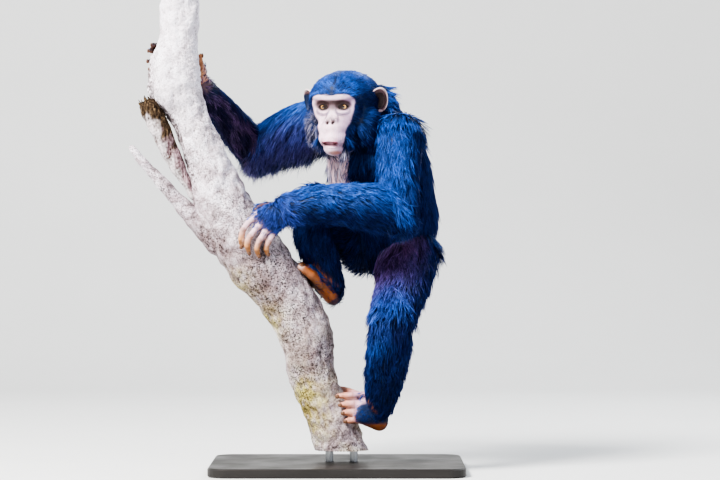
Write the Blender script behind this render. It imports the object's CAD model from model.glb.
"""A young chimpanzee gripping a leaning tree trunk, finished as a life-size museum model.

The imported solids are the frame: +Z is up, +X is the viewer's right and -Y points at the viewer. "left" and
"right" in names are the animal's own sides. Places and sizes are written in millimetres, as in the solids,
and become metres where a mesh is made. Colours are linear.
"""

import logging
import math
from dataclasses import dataclass
from enum import Enum

import bmesh
import bpy
import numpy as np
from mathutils import Matrix, Vector, kdtree

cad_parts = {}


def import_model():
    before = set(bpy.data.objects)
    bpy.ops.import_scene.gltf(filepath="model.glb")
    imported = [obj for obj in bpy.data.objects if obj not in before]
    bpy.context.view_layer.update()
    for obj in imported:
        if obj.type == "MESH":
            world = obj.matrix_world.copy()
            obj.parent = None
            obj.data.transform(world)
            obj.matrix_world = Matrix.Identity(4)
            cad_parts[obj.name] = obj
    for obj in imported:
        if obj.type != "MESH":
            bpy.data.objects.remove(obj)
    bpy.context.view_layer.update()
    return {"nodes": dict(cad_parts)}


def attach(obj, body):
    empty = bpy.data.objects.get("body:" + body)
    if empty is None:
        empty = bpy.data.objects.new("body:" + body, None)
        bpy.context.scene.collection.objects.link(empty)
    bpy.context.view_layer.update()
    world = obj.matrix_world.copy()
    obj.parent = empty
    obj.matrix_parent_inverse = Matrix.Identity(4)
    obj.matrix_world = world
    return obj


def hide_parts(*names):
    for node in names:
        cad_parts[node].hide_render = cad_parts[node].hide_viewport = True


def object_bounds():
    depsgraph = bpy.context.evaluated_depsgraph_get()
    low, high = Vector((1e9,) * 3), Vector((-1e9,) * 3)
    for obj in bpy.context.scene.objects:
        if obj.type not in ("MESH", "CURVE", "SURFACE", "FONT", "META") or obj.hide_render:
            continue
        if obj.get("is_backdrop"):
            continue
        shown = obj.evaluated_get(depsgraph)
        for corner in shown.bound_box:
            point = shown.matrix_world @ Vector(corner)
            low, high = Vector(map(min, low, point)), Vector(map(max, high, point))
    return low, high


log = logging.getLogger("chimpanzee")

Socket = bpy.types.NodeSocket
Value = float | tuple | Socket

MM = 0.001
SEED = 20240611
DOWN = np.array([0.0, 0.0, -1.0])
BODY = "root"
WHITE = (1.0, 1.0, 1.0)

# The way across the torso, to the animal's left
BODY_LEFT = (0.727, -0.686, 0.0)

# Stations of each bare form: x, y, z, half width, half depth
TORSO = [
    [124, 122, 498, 74, 64], [120, 117, 530, 95, 86], [113, 110, 582, 107, 96], [102, 100, 632, 114, 96],
    [95, 96, 655, 120, 96], [79, 75, 722, 112, 84], [69, 60, 772, 68, 58],
]
NECK = [[78, 68, 756, 70, 64], [64, 55, 806, 63, 61], [32, 25, 824, 54, 54]]
UPPER_ARM_LEFT = [[138, 4, 752, 46, 46], [135, -55, 655, 41, 40], [130, -113, 565, 34, 34]]
UPPER_ARM_RIGHT = [[-8, 136, 782, 57, 46], [-92, 180, 762, 53, 40], [-190, 230, 722, 35, 32]]
FOREARM_LEFT = [
    [130, -111, 567, 33, 31], [62, -112, 587, 41, 36], [-36, -98, 591, 34, 28], [-118, -80, 577, 30, 19],
]
FOREARM_RIGHT = [
    [-190, 229, 723, 31, 30], [-226, 180, 762, 32, 32], [-268, 114, 816, 24, 25], [-304, 62, 857, 19, 17],
]
THIGH_LEFT = [[156, 84, 494, 64, 60], [146, 10, 420, 50, 50], [121, -92, 343, 40, 40]]
THIGH_RIGHT = [[72, 150, 506, 60, 57], [7, 72, 549, 49, 49], [-50, -3, 593, 39, 39]]
SHANK_LEFT = [
    [121, -92, 343, 36, 36], [113, -85, 272, 38, 36], [103, -65, 200, 33, 30], [92, -44, 146, 26, 25],
]
SHANK_RIGHT = [[-50, -3, 592, 36, 36], [-50, 8, 522, 35, 35], [-32, 24, 462, 28, 27], [-14, 34, 410, 23, 22]]
PALM_LEFT = [[-114, -80, 576, 27, 17], [-140, -80, 561, 32, 16], [-164, -74, 546, 36, 13]]
PALM_RIGHT = [[-303, 62, 857, 19, 16], [-320, 71, 886, 29, 15], [-342, 70, 918, 33, 12]]
FOOT_LEFT = [[94, -20, 107, 20, 20], [83, -35, 120, 27, 22], [68, -48, 133, 32, 18], [51, -55, 141, 34, 13]]
FOOT_RIGHT = [[-8, 29, 383, 20, 20], [-24, 24, 404, 26, 21], [-44, 16, 424, 32, 16], [-65, 11, 450, 33, 12]]
PALM_LEFT_ACROSS = (-0.79, -0.2, 0.58)
PALM_RIGHT_ACROSS = (-0.25, 0.1, 0.96)
FOOT_LEFT_ACROSS = (0.1, 0.15, 0.98)
FOOT_RIGHT_ACROSS = (0.05, -0.99, 0.1)

# Heights of the trunk's two cuts, then height, sideways place and radius of each station
PERCH_FOOT = 46
PERCH_TOP = 1072
TRUNK = [
    [10, 20, 57], [46, 9, 56], [105, -13, 55], [158, -35, 50], [211, -54, 53], [299, -72, 60],
    [387, -115, 64], [475, -186, 71], [563, -242, 66], [651, -279, 55], [739, -312, 47], [800, -337, 49],
    [850, -364, 63], [899, -363, 57], [948, -355, 46], [1010, -353, 44], [1072, -352, 42],
]
BRANCH = [
    [-262, 0, 500, 30, 28], [-318, -4, 560, 24, 22], [-372, -10, 620, 17, 16], [-420, -16, 672, 12, 12],
    [-456, -20, 716, 8, 8],
]
SNAG = [
    [-318, -8, 610, 12, 12], [-362, -12, 690, 20, 19], [-396, -14, 765, 27, 24], [-416, -12, 806, 30, 24],
]

# Digits: radii and places of their stations, then where the knuckles and nails are along them
FINGER_RADII = [8.6, 8.6, 8.0, 6.6]
TOE_RADII = [8.6, 8.4, 8.0, 6.8]
THUMB_RADII = [11, 9.5, 8.6, 7.0]
BIG_TOE_RADII = [13, 11.5, 10.5, 9.0]
LEFT_FINGERS = {
    "index": [[-178, -79, 567], [-204, -87, 538], [-211, -84, 514], [-210, -74, 496]],
    "middle": [[-162, -77, 556], [-189, -90, 522], [-197, -86, 499], [-193, -75, 483]],
    "ring": [[-147, -70, 546], [-169, -87, 513], [-176, -84, 492], [-172, -74, 476]],
    "little": [[-133, -60, 536], [-150, -77, 510], [-156, -76, 493], [-153, -68.5, 480]],
}
LEFT_THUMB = [[-132, -62, 580], [-150, -52, 588], [-168, -54, 586], [-181, -58, 579]]
RIGHT_FINGER_LEVELS = {"index": 946, "middle": 929, "ring": 912, "little": 896}
RIGHT_FINGER_ANGLES = {
    "index": [158, 200, 238, 272], "middle": [158, 202, 242, 278],
    "ring": [158, 196, 226, 252], "little": [156, 188, 214, 238],
}
RIGHT_THUMB_PLACES = [(884, 138, 11.5), (904, 124, 9), (919, 118, 9), (934, 113, 7.5)]
LEFT_TOE_LEVELS = {"second": 172, "third": 153, "fourth": 135, "fifth": 117}
LEFT_TOE_X = [58, 43, 30, 18]
LEFT_TOE_Y = [-51, -53, -50, -47]
LEFT_TOE_LEAN = 0.12
LEFT_BIG_TOE = [[65, -28, 155], [45, -4, 166], [25, 24, 173], [5, 46, 178]]
RIGHT_TOE_LEVELS = {"second": 410.5, "third": 398.5, "fourth": 386, "fifth": 374}
RIGHT_TOE_ANGLES = [102, 124, 142, 158]
RIGHT_BIG_TOE = [[-38, -8, 416], [-56, -25, 433], [-70, -29, 444], [-83, -29, 453]]
KNUCKLES = (0.36, 0.68)
NAIL_AT = 0.93

# Rings past a limb's last section: how far out and how wide, as shares
FLAT_END = [(0.0, 0.93), (0.0, 0.6), (0.0, 0.3), (0.0, 0.0)]
DOMED_END = [(0.6, 0.8), (0.92, 0.4), (1.0, 0.0)]

# Head: its middle, turn to the animal's right and nod in degrees, and how softly its forms blend
HEAD_AT = (13.4, 5, 795)
HEAD_TURN = 19
HEAD_NOD = 8
HEAD_BLEND = 9.0

# Heights on the bare face, in the head's frame, and its half width there
FACE_LEVELS = (-92, -80, -64, -45, -30, -15, 0, 15, 30, 38, 44, 50)
FACE_HALVES = (8, 20, 27, 29, 31, 36, 42, 46, 49, 47, 40, 26)


class Side(Enum):
    """One side of the animal, with its sign along the head's sideways axis."""

    LEFT = -1
    RIGHT = 1

    @property
    def word(self) -> str:
        """The side's name in lower case."""
        return self.name.lower()


class Lie(Enum):
    """Which way hair points along the limb it grows on."""

    TOWARDS_END = 1
    TOWARDS_START = -1


def spline(points: np.ndarray, shares: np.ndarray) -> np.ndarray:
    """Places on a Catmull-Rom curve.

    Args:
        points: the curve's stations, one row each.
        shares: places from 0 at the start to 1 at the end.
    Returns:
        One row for each share.
    """
    points = np.asarray(points, float)
    count = len(points) - 1
    padded = np.vstack([2 * points[0] - points[1], points, 2 * points[-1] - points[-2]])
    place = np.clip(np.asarray(shares, float), 0, 1) * count
    index = np.minimum(place.astype(int), count - 1)
    u = (place - index)[:, None]
    p0, p1, p2, p3 = (padded[index + k] for k in range(4))
    square, cube = 2 * p0 - 5 * p1 + 4 * p2 - p3, 3 * p1 - p0 - 3 * p2 + p3
    return 0.5 * (2 * p1 + (p2 - p0) * u + square * u**2 + cube * u**3)


def unit(v: np.ndarray) -> np.ndarray:
    """Rows of v scaled to length 1."""
    return v / np.maximum(np.linalg.norm(v, axis=-1, keepdims=True), 1e-9)


def smoothstep(low: float, high: float, value: np.ndarray) -> np.ndarray:
    """0 below low, 1 above high and an S curve between."""
    t = np.clip((value - low) / (high - low), 0, 1)
    return t * t * (3 - 2 * t)


def bell(*terms: np.ndarray) -> np.ndarray:
    """1 where every term is 0, falling smoothly to 0 as any of them grows past 1."""
    return np.exp(-sum(term**2 for term in terms))


def off_centre(p: np.ndarray, at: tuple, radii: tuple) -> np.ndarray:
    """How far each row of p is from at, as a share of an ellipsoid's radii."""
    return np.linalg.norm((p - at) / radii, axis=1)


class Limb:
    """A rounded form through stations, in millimetres."""

    def __init__(self, stations: list, across: tuple, name: str = "") -> None:
        """Takes the form's measures.

        Args:
            stations: rows of x, y, z, half width and half depth.
            across: the direction of the width.
            name: what it is called; a digit's name says which marks it gets.
        """
        self.name = name
        self.stations = np.asarray(stations, float)
        self.across = np.asarray(across, float)

    def frames(self, shares: np.ndarray) -> tuple:
        """Middle, way along, way across, way deep, half width and half depth at each share."""
        row = spline(self.stations, shares)
        step = 1e-3
        after, before = spline(self.stations, shares + step), spline(self.stations, shares - step)
        along = unit(after[:, :3] - before[:, :3])
        wide = unit(self.across - along * (along @ self.across)[:, None])
        return row[:, :3], along, wide, np.cross(along, wide), row[:, 3], row[:, 4]


class Trunk(Limb):
    """The leaning trunk's middle line, round in section."""

    def __init__(self) -> None:
        """Takes its stations from TRUNK."""
        super().__init__([[x, 0, z, r, r] for z, x, r in TRUNK], (0, -1, 0), "trunk")

    def share(self, level: float) -> float:
        """The share of the middle line at a height in millimetres."""
        shares = np.linspace(0, 1, 2001)
        return float(np.interp(level, spline(self.stations, shares)[:, 2], shares))

    def place(self, level: float, angle: float, lift: float) -> list:
        """A point above the bark.

        Args:
            level: height of the middle line, in millimetres.
            angle: degrees from the viewer's side towards +X.
            lift: height over the bark in millimetres.
        Returns:
            x, y and z in millimetres.
        """
        at, along, wide, _, half, _ = self.frames(np.array([self.share(level)]))
        front = wide[0] if wide[0][1] < 0 else -wide[0]
        right = np.cross(along[0], (0, -1, 0))
        right /= np.linalg.norm(right)
        a = math.radians(angle)
        return list(at[0] + (math.cos(a) * front + math.sin(a) * right) * (half[0] + lift))


def digit(points: list, radii: list, across: tuple, name: str) -> Limb:
    """A finger or toe through points, with a radius at each."""
    return Limb([[*p, r, r * 0.92] for p, r in zip(points, radii)], across, name)


def digits(trunk: Trunk) -> list:
    """All fingers and toes, gripping the trunk."""
    made = [digit(p, FINGER_RADII, PALM_LEFT_ACROSS, f"finger_left_{n}") for n, p in LEFT_FINGERS.items()]
    made.append(digit(LEFT_THUMB, THUMB_RADII, (0, 1, 0), "finger_left_thumb"))
    for name, level in RIGHT_FINGER_LEVELS.items():
        angles = RIGHT_FINGER_ANGLES[name]
        points = [trunk.place(level - 3 * i, a, FINGER_RADII[i] + 0.5) for i, a in enumerate(angles)]
        made.append(digit(points, FINGER_RADII, (0, 0, 1), f"finger_right_{name}"))
    thumb = [trunk.place(*place) for place in RIGHT_THUMB_PLACES]
    made.append(digit(thumb, THUMB_RADII, (0, 1, 0), "finger_right_thumb"))
    for name, level in LEFT_TOE_LEVELS.items():
        lean = LEFT_TOE_LEAN * (level - LEFT_TOE_LEVELS["fifth"])
        points = [[x - lean * i, y, level - 1.5 * i] for i, (x, y) in enumerate(zip(LEFT_TOE_X, LEFT_TOE_Y))]
        made.append(digit(points, TOE_RADII, (0, 0, 1), f"toe_left_{name}"))
    made.append(digit(LEFT_BIG_TOE, BIG_TOE_RADII, (0, 0, 1), "toe_left_big"))
    for name, level in RIGHT_TOE_LEVELS.items():
        points = [trunk.place(level + 4 * i, a, TOE_RADII[i] + 0.5) for i, a in enumerate(RIGHT_TOE_ANGLES)]
        made.append(digit(points, TOE_RADII, (1, 0, 0), f"toe_right_{name}"))
    made.append(digit(RIGHT_BIG_TOE, BIG_TOE_RADII, (0, 1, 0), "toe_right_big"))
    return made


# Meshes


def add_loft(
    bm: bmesh.types.BMesh, limb: Limb, sides: int, steps: int, grow: float = 0.0, flat: bool = False,
) -> None:
    """Adds a limb to bm as a grid rolled into a closed tube.

    Args:
        bm: the mesh to add to, in metres.
        limb: the form.
        sides: points round each ring.
        steps: stretches along it.
        grow: millimetres added to its half sizes.
        flat: whether its ends are flat discs, or else domes.
    """
    at, along, wide, deep, half_wide, half_deep = limb.frames(np.linspace(0, 1, steps + 1))
    half_wide, half_deep = half_wide + grow, half_deep + grow
    rows = []
    for end, sign in ((0, -1), (-1, 1)):
        dome = min(half_wide[end], half_deep[end]) * 0.8
        rings = [(at[end] + sign * along[end] * dome * f, wide[end] * half_wide[end] * s,
                  deep[end] * half_deep[end] * s) for f, s in (FLAT_END if flat else DOMED_END)]
        rows.append(rings)
    body = [(at[i], wide[i] * half_wide[i], deep[i] * half_deep[i]) for i in range(steps + 1)]
    rings = [*reversed(rows[0]), *body, *rows[1]]
    made = bmesh.ops.create_grid(bm, x_segments=sides, y_segments=len(rings) - 1, size=1.0)["verts"]
    for vertex in made:
        column = round((vertex.co.x + 1) / 2 * sides)
        middle, across, down = rings[round((vertex.co.y + 1) / 2 * (len(rings) - 1))]
        angle = 2 * math.pi * (column % sides) / sides
        vertex.co = Vector(middle + across * math.cos(angle) + down * math.sin(angle)) * MM
    bmesh.ops.remove_doubles(bm, verts=made, dist=1e-6)


def add_ball(bm: bmesh.types.BMesh, matrix: Matrix, at: tuple, radii: tuple, detail: int = 24) -> None:
    """Adds an ellipsoid to bm.

    Args:
        bm: the mesh to add to, in metres.
        matrix: the frame that at and radii are in.
        at: the middle in millimetres.
        radii: the three radii in millimetres.
        detail: points round it.
    """
    scale = Matrix.Diagonal((*(r * MM for r in radii), 1.0))
    place = matrix @ Matrix.Translation(Vector(at) * MM) @ scale
    bmesh.ops.create_uvsphere(bm, u_segments=detail, v_segments=detail // 2, radius=1.0, matrix=place)


def make_object(name: str, mesh: bpy.types.Mesh, material: bpy.types.Material) -> bpy.types.Object:
    """A new smooth-shaded object in the scene, at the origin."""
    obj = bpy.data.objects.new(name, mesh)
    bpy.context.scene.collection.objects.link(obj)
    mesh.materials.append(material)
    mesh.polygons.foreach_set("use_smooth", [True] * len(mesh.polygons))
    return obj


def from_bmesh(name: str, bm: bmesh.types.BMesh, material: bpy.types.Material) -> bpy.types.Object:
    """An object from bm, which is freed."""
    bmesh.ops.recalc_face_normals(bm, faces=bm.faces)
    mesh = bpy.data.meshes.new(name)
    bm.to_mesh(mesh)
    bm.free()
    return make_object(name, mesh, material)


def applied(obj: bpy.types.Object) -> bpy.types.Object:
    """obj with its modifiers applied."""
    mesh = bpy.data.meshes.new_from_object(obj.evaluated_get(bpy.context.evaluated_depsgraph_get()))
    obj.modifiers.clear()
    obj.data = mesh
    return obj


def vertices_of(mesh: bpy.types.Mesh) -> np.ndarray:
    """Vertex places in metres, one row each."""
    flat = np.empty(len(mesh.vertices) * 3, np.float32)
    mesh.vertices.foreach_get("co", flat)
    return flat.reshape(-1, 3).astype(float)


def normals_of(mesh: bpy.types.Mesh) -> np.ndarray:
    """Vertex normals, one row each."""
    flat = np.empty(len(mesh.vertices) * 3, np.float32)
    mesh.vertex_normals.foreach_get("vector", flat)
    return flat.reshape(-1, 3).astype(float)


def set_vertices(mesh: bpy.types.Mesh, places: np.ndarray) -> None:
    """Moves the mesh's vertices to places, in metres."""
    mesh.vertices.foreach_set("co", places.astype(np.float32).ravel())
    mesh.update()


def set_values(mesh: bpy.types.Mesh, name: str, values: np.ndarray) -> None:
    """Stores one number for each vertex."""
    mesh.attributes.new(name, "FLOAT", "POINT").data.foreach_set("value", values.astype(np.float32))


def set_colours(mesh: bpy.types.Mesh, name: str, colours: np.ndarray) -> None:
    """Stores one linear colour for each vertex."""
    full = np.ones((len(colours), 4), np.float32)
    full[:, :3] = colours
    mesh.attributes.new(name, "FLOAT_COLOR", "POINT").data.foreach_set("color", full.ravel())


def waves(points: np.ndarray, size: float, seed: int, count: int = 9) -> np.ndarray:
    """Smooth noise from -1 to 1 made of crossing waves.

    Args:
        points: places in millimetres.
        size: the length of its features in millimetres.
        seed: chooses the waves.
        count: how many waves cross.
    Returns:
        One number for each place.
    """
    rng = np.random.default_rng(seed)
    total = np.zeros(len(points))
    for _ in range(count):
        way = unit(rng.normal(size=3)) * rng.uniform(0.6, 1.6) * 2 * np.pi / size
        total += np.sin(points @ way + rng.uniform(0, 2 * np.pi))
    return total / math.sqrt(count) * 0.75


# Head form, in its own frame: x to the animal's right, y forwards, z up, in millimetres


@dataclass(frozen=True)
class Form:
    """One ellipsoid of a blended form; a pair repeats on the other side."""

    at: tuple
    radii: tuple
    pair: bool = False


HEAD_FORMS = [
    Form((0, -14, 31), (76, 86, 60)),
    Form((0, 50, 37), (46, 24, 16)),
    Form((27, 62, 42), (24, 14, 8.5), True),
    Form((0, 64, 41), (24, 12, 8)),
    Form((46, 50, 24), (8, 15, 17), True),
    Form((0, 44, -4), (43, 34, 42)),
    Form((39, 44, 4), (17, 23, 19), True),
    Form((52, 4, -22), (28, 46, 45), True),
    Form((0, 62, -27), (39, 35, 25)),
    Form((0, 74, -49), (35, 27, 18)),
    Form((0, 64, -70), (26, 32, 19)),
    Form((0, 14, -46), (46, 50, 32)),
]


@dataclass(frozen=True)
class FaceSizes:
    """Places and sizes of the face, in millimetres in the head's frame."""

    socket: tuple = (24, 80, 19)
    socket_radii: tuple = (17.5, 14.5, 12.5)
    eye: tuple = (23.5, 55.5, 19)
    eye_radius: float = 11.0
    lid: float = 1.6
    half_width: float = 10.5
    rise: float = 5.4
    drop: float = 5.2
    nose: tuple = (0, 83, -8)
    nose_radii: tuple = (12, 10, 9)
    wing: tuple = (8.5, 85, -11)
    wing_radii: tuple = (7, 8, 6)
    nostril: tuple = (6, 95, -14)
    nostril_radii: tuple = (2.7, 7, 3.0)
    mouth_half: float = 22
    mouth_y: float = 75
    mouth_reach: float = 27
    lip_upper: float = -54.5
    lip_lower: float = -64.0
    lip: float = 4.8
    mouth_bow: float = 1.6
    ear: tuple = (81, -8, 26)
    ear_swing: float = 50
    ear_lean: float = 8


def ellipsoid_distance(p: np.ndarray, at: tuple, radii: tuple) -> np.ndarray:
    """About how far each row of p is outside an ellipsoid."""
    q = (p - np.asarray(at, float)) / np.asarray(radii, float)
    k0 = np.linalg.norm(q, axis=1)
    k1 = np.maximum(np.linalg.norm(q / np.asarray(radii, float), axis=1), 1e-6)
    return k0 * (k0 - 1) / k1


def join(a: np.ndarray, b: np.ndarray, soft: float) -> np.ndarray:
    """The nearer of two surfaces, blended over soft millimetres."""
    h = np.maximum(soft - np.abs(a - b), 0) / soft
    return np.minimum(a, b) - h * h * soft * 0.25


def carve(a: np.ndarray, b: np.ndarray, soft: float) -> np.ndarray:
    """Surface a with b cut out of it, blended over soft millimetres."""
    return -join(-a, b, soft)


class HeadForm:
    """The head as a blended surface that points are drawn onto."""

    def __init__(self) -> None:
        """Sets the head's frame in the scene."""
        self.face = FaceSizes()
        turn = Matrix.Rotation(math.pi - math.radians(HEAD_TURN), 4, "Z")
        nod = Matrix.Rotation(-math.radians(HEAD_NOD), 4, "X")
        self.matrix = Matrix.Translation(Vector(HEAD_AT) * MM) @ turn @ nod
        self.rotation = np.array((turn @ nod).to_3x3())

    def local(self, world: np.ndarray) -> np.ndarray:
        """World millimetres in the head's frame."""
        return (world - np.asarray(HEAD_AT, float)) @ self.rotation

    def world(self, local: np.ndarray) -> np.ndarray:
        """The head's frame in world millimetres."""
        return local @ self.rotation.T + np.asarray(HEAD_AT, float)

    def skull(self, p: np.ndarray) -> np.ndarray:
        """Distance from the head's plain blended forms."""
        d = None
        for form in HEAD_FORMS:
            for sign in (1, -1) if form.pair else (1,):
                e = ellipsoid_distance(p, (form.at[0] * sign, *form.at[1:]), form.radii)
                d = e if d is None else join(d, e, HEAD_BLEND)
        return d

    def arch(self, x: np.ndarray) -> tuple:
        """Share of the way to the mouth's corner, and how far forward the arch is, at each x."""
        s = np.clip(x / self.face.mouth_half, -1, 1)
        return s, np.sqrt(1 - 0.8 * s * s)

    def lip(self, p: np.ndarray, level: float, bow: float, thick: float) -> np.ndarray:
        """Distance from one lip, an arch from corner to corner."""
        f = self.face
        s, arch = self.arch(p[:, 0])
        at = np.stack([s * f.mouth_half, f.mouth_y + f.mouth_reach * arch - 3, level + bow * s * s], axis=1)
        return np.linalg.norm((p - at) * (1, 1, 1.2), axis=1) - thick * (0.5 + 0.5 * arch)

    def distance(self, p: np.ndarray) -> np.ndarray:
        """Distance from the finished head, with lids, nose and lips.

        Args:
            p: places in the head's frame, millimetres.
        """
        f = self.face
        d = self.skull(p)
        for sign in (1, -1):
            d = carve(d, ellipsoid_distance(p, (f.socket[0] * sign, *f.socket[1:]), f.socket_radii), 7)
        d = join(d, ellipsoid_distance(p, f.nose, f.nose_radii), 6)
        for sign in (1, -1):
            eye = (f.eye[0] * sign, *f.eye[1:])
            ball = np.linalg.norm(p - eye, axis=1) - f.eye_radius - f.lid
            d = join(d, ball, 4)
            d = join(d, ellipsoid_distance(p, (f.wing[0] * sign, *f.wing[1:]), f.wing_radii), 4)
        d = join(d, self.lip(p, f.lip_upper, -2, f.lip), 5)
        d = join(d, self.lip(p, f.lip_lower, 3, f.lip), 5)
        # Folds under the eyes, across the brow and round the mouth
        x, y, z = p.T
        under = bell((np.abs(x) - 24) / 16, (z - 3) / 8)
        d += 0.55 * under * np.sin((z + 0.02 * (np.abs(x) - 24) ** 2) * 1.35)
        brow = bell(x / 34, (z - 47) / 7)
        d += 0.35 * brow * np.sin(z * 1.7 + 0.6 * np.sin(x * 0.2))
        between = bell(x / 9, (z - 24) / 9)
        d += 0.5 * between * np.sin(x * 1.1)
        muzzle = smoothstep(60, 85, y) * bell((z + 46) / 18)
        d += 0.28 * muzzle * np.sin(x * 1.5 + 0.5 * np.sin(z * 0.4))
        # Mouth, nostrils and the openings between the lids
        s, arch = self.arch(x)
        middle = (f.lip_upper + f.lip_lower) / 2 + f.mouth_bow * s * s
        at = np.stack([s * f.mouth_half, f.mouth_y + f.mouth_reach * arch, middle], axis=1)
        gape = 0.5 + 4.6 * np.maximum(1 - ((s - 0.1) / 0.7) ** 2, 0) ** 0.8
        slit = np.linalg.norm((p - at) * (0.6, 0.28, 1.0), axis=1) - gape
        d = carve(d, slit, 1.6)
        for sign in (1, -1):
            d = carve(d, ellipsoid_distance(p, (f.nostril[0] * sign, *f.nostril[1:]), f.nostril_radii), 1.6)
            u = (x * sign - f.eye[0]) / f.half_width
            gap = np.where(z > f.eye[2], f.rise, f.drop) * (1 - u * u)
            opening = np.maximum(np.abs(z - f.eye[2]) - gap, f.eye[1] + 3 - y)
            opening = np.maximum(opening, (np.abs(u) - 1) * f.half_width)
            d = carve(d, opening, 0.9)
        return d

    def draw_on(self, p: np.ndarray, rounds: int = 5) -> np.ndarray:
        """Moves places in the head's frame onto its surface."""
        p = p.copy()
        for _ in range(rounds):
            d = self.distance(p)
            step = 0.4
            slope = np.stack([
                self.distance(p + axis * step) - self.distance(p - axis * step) for axis in np.eye(3)
            ], axis=1) / (2 * step)
            length = np.maximum(np.linalg.norm(slope, axis=1), 0.35)
            move = np.clip(d / length, -3, 3)
            p -= slope / length[:, None] * move[:, None]
        return p

    def bare(self, p: np.ndarray) -> np.ndarray:
        """1 on the bare face and 0 where the head's hair grows."""
        x, y, z = p.T
        front = smoothstep(24, 40, y)
        inside = 1 - smoothstep(-3, 4, np.abs(x) - np.interp(z, FACE_LEVELS, FACE_HALVES))
        return front * inside * smoothstep(-96, -88, z) * (1 - smoothstep(44, 49, z + 2.5 * bell(x / 9)))


# Finishes


@dataclass(frozen=True)
class Finish:
    """Constants of a Principled surface."""

    name: str
    roughness: float = 0.5
    metallic: float = 0.0
    specular: float = 0.5
    tint: tuple = WHITE
    sheen: float = 0.0
    sheen_tint: tuple = WHITE
    coat: float = 0.0
    coat_roughness: float = 0.04
    subsurface: float = 0.0
    radius: tuple = (1.0, 0.3, 0.2)
    depth: float = 0.004


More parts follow.
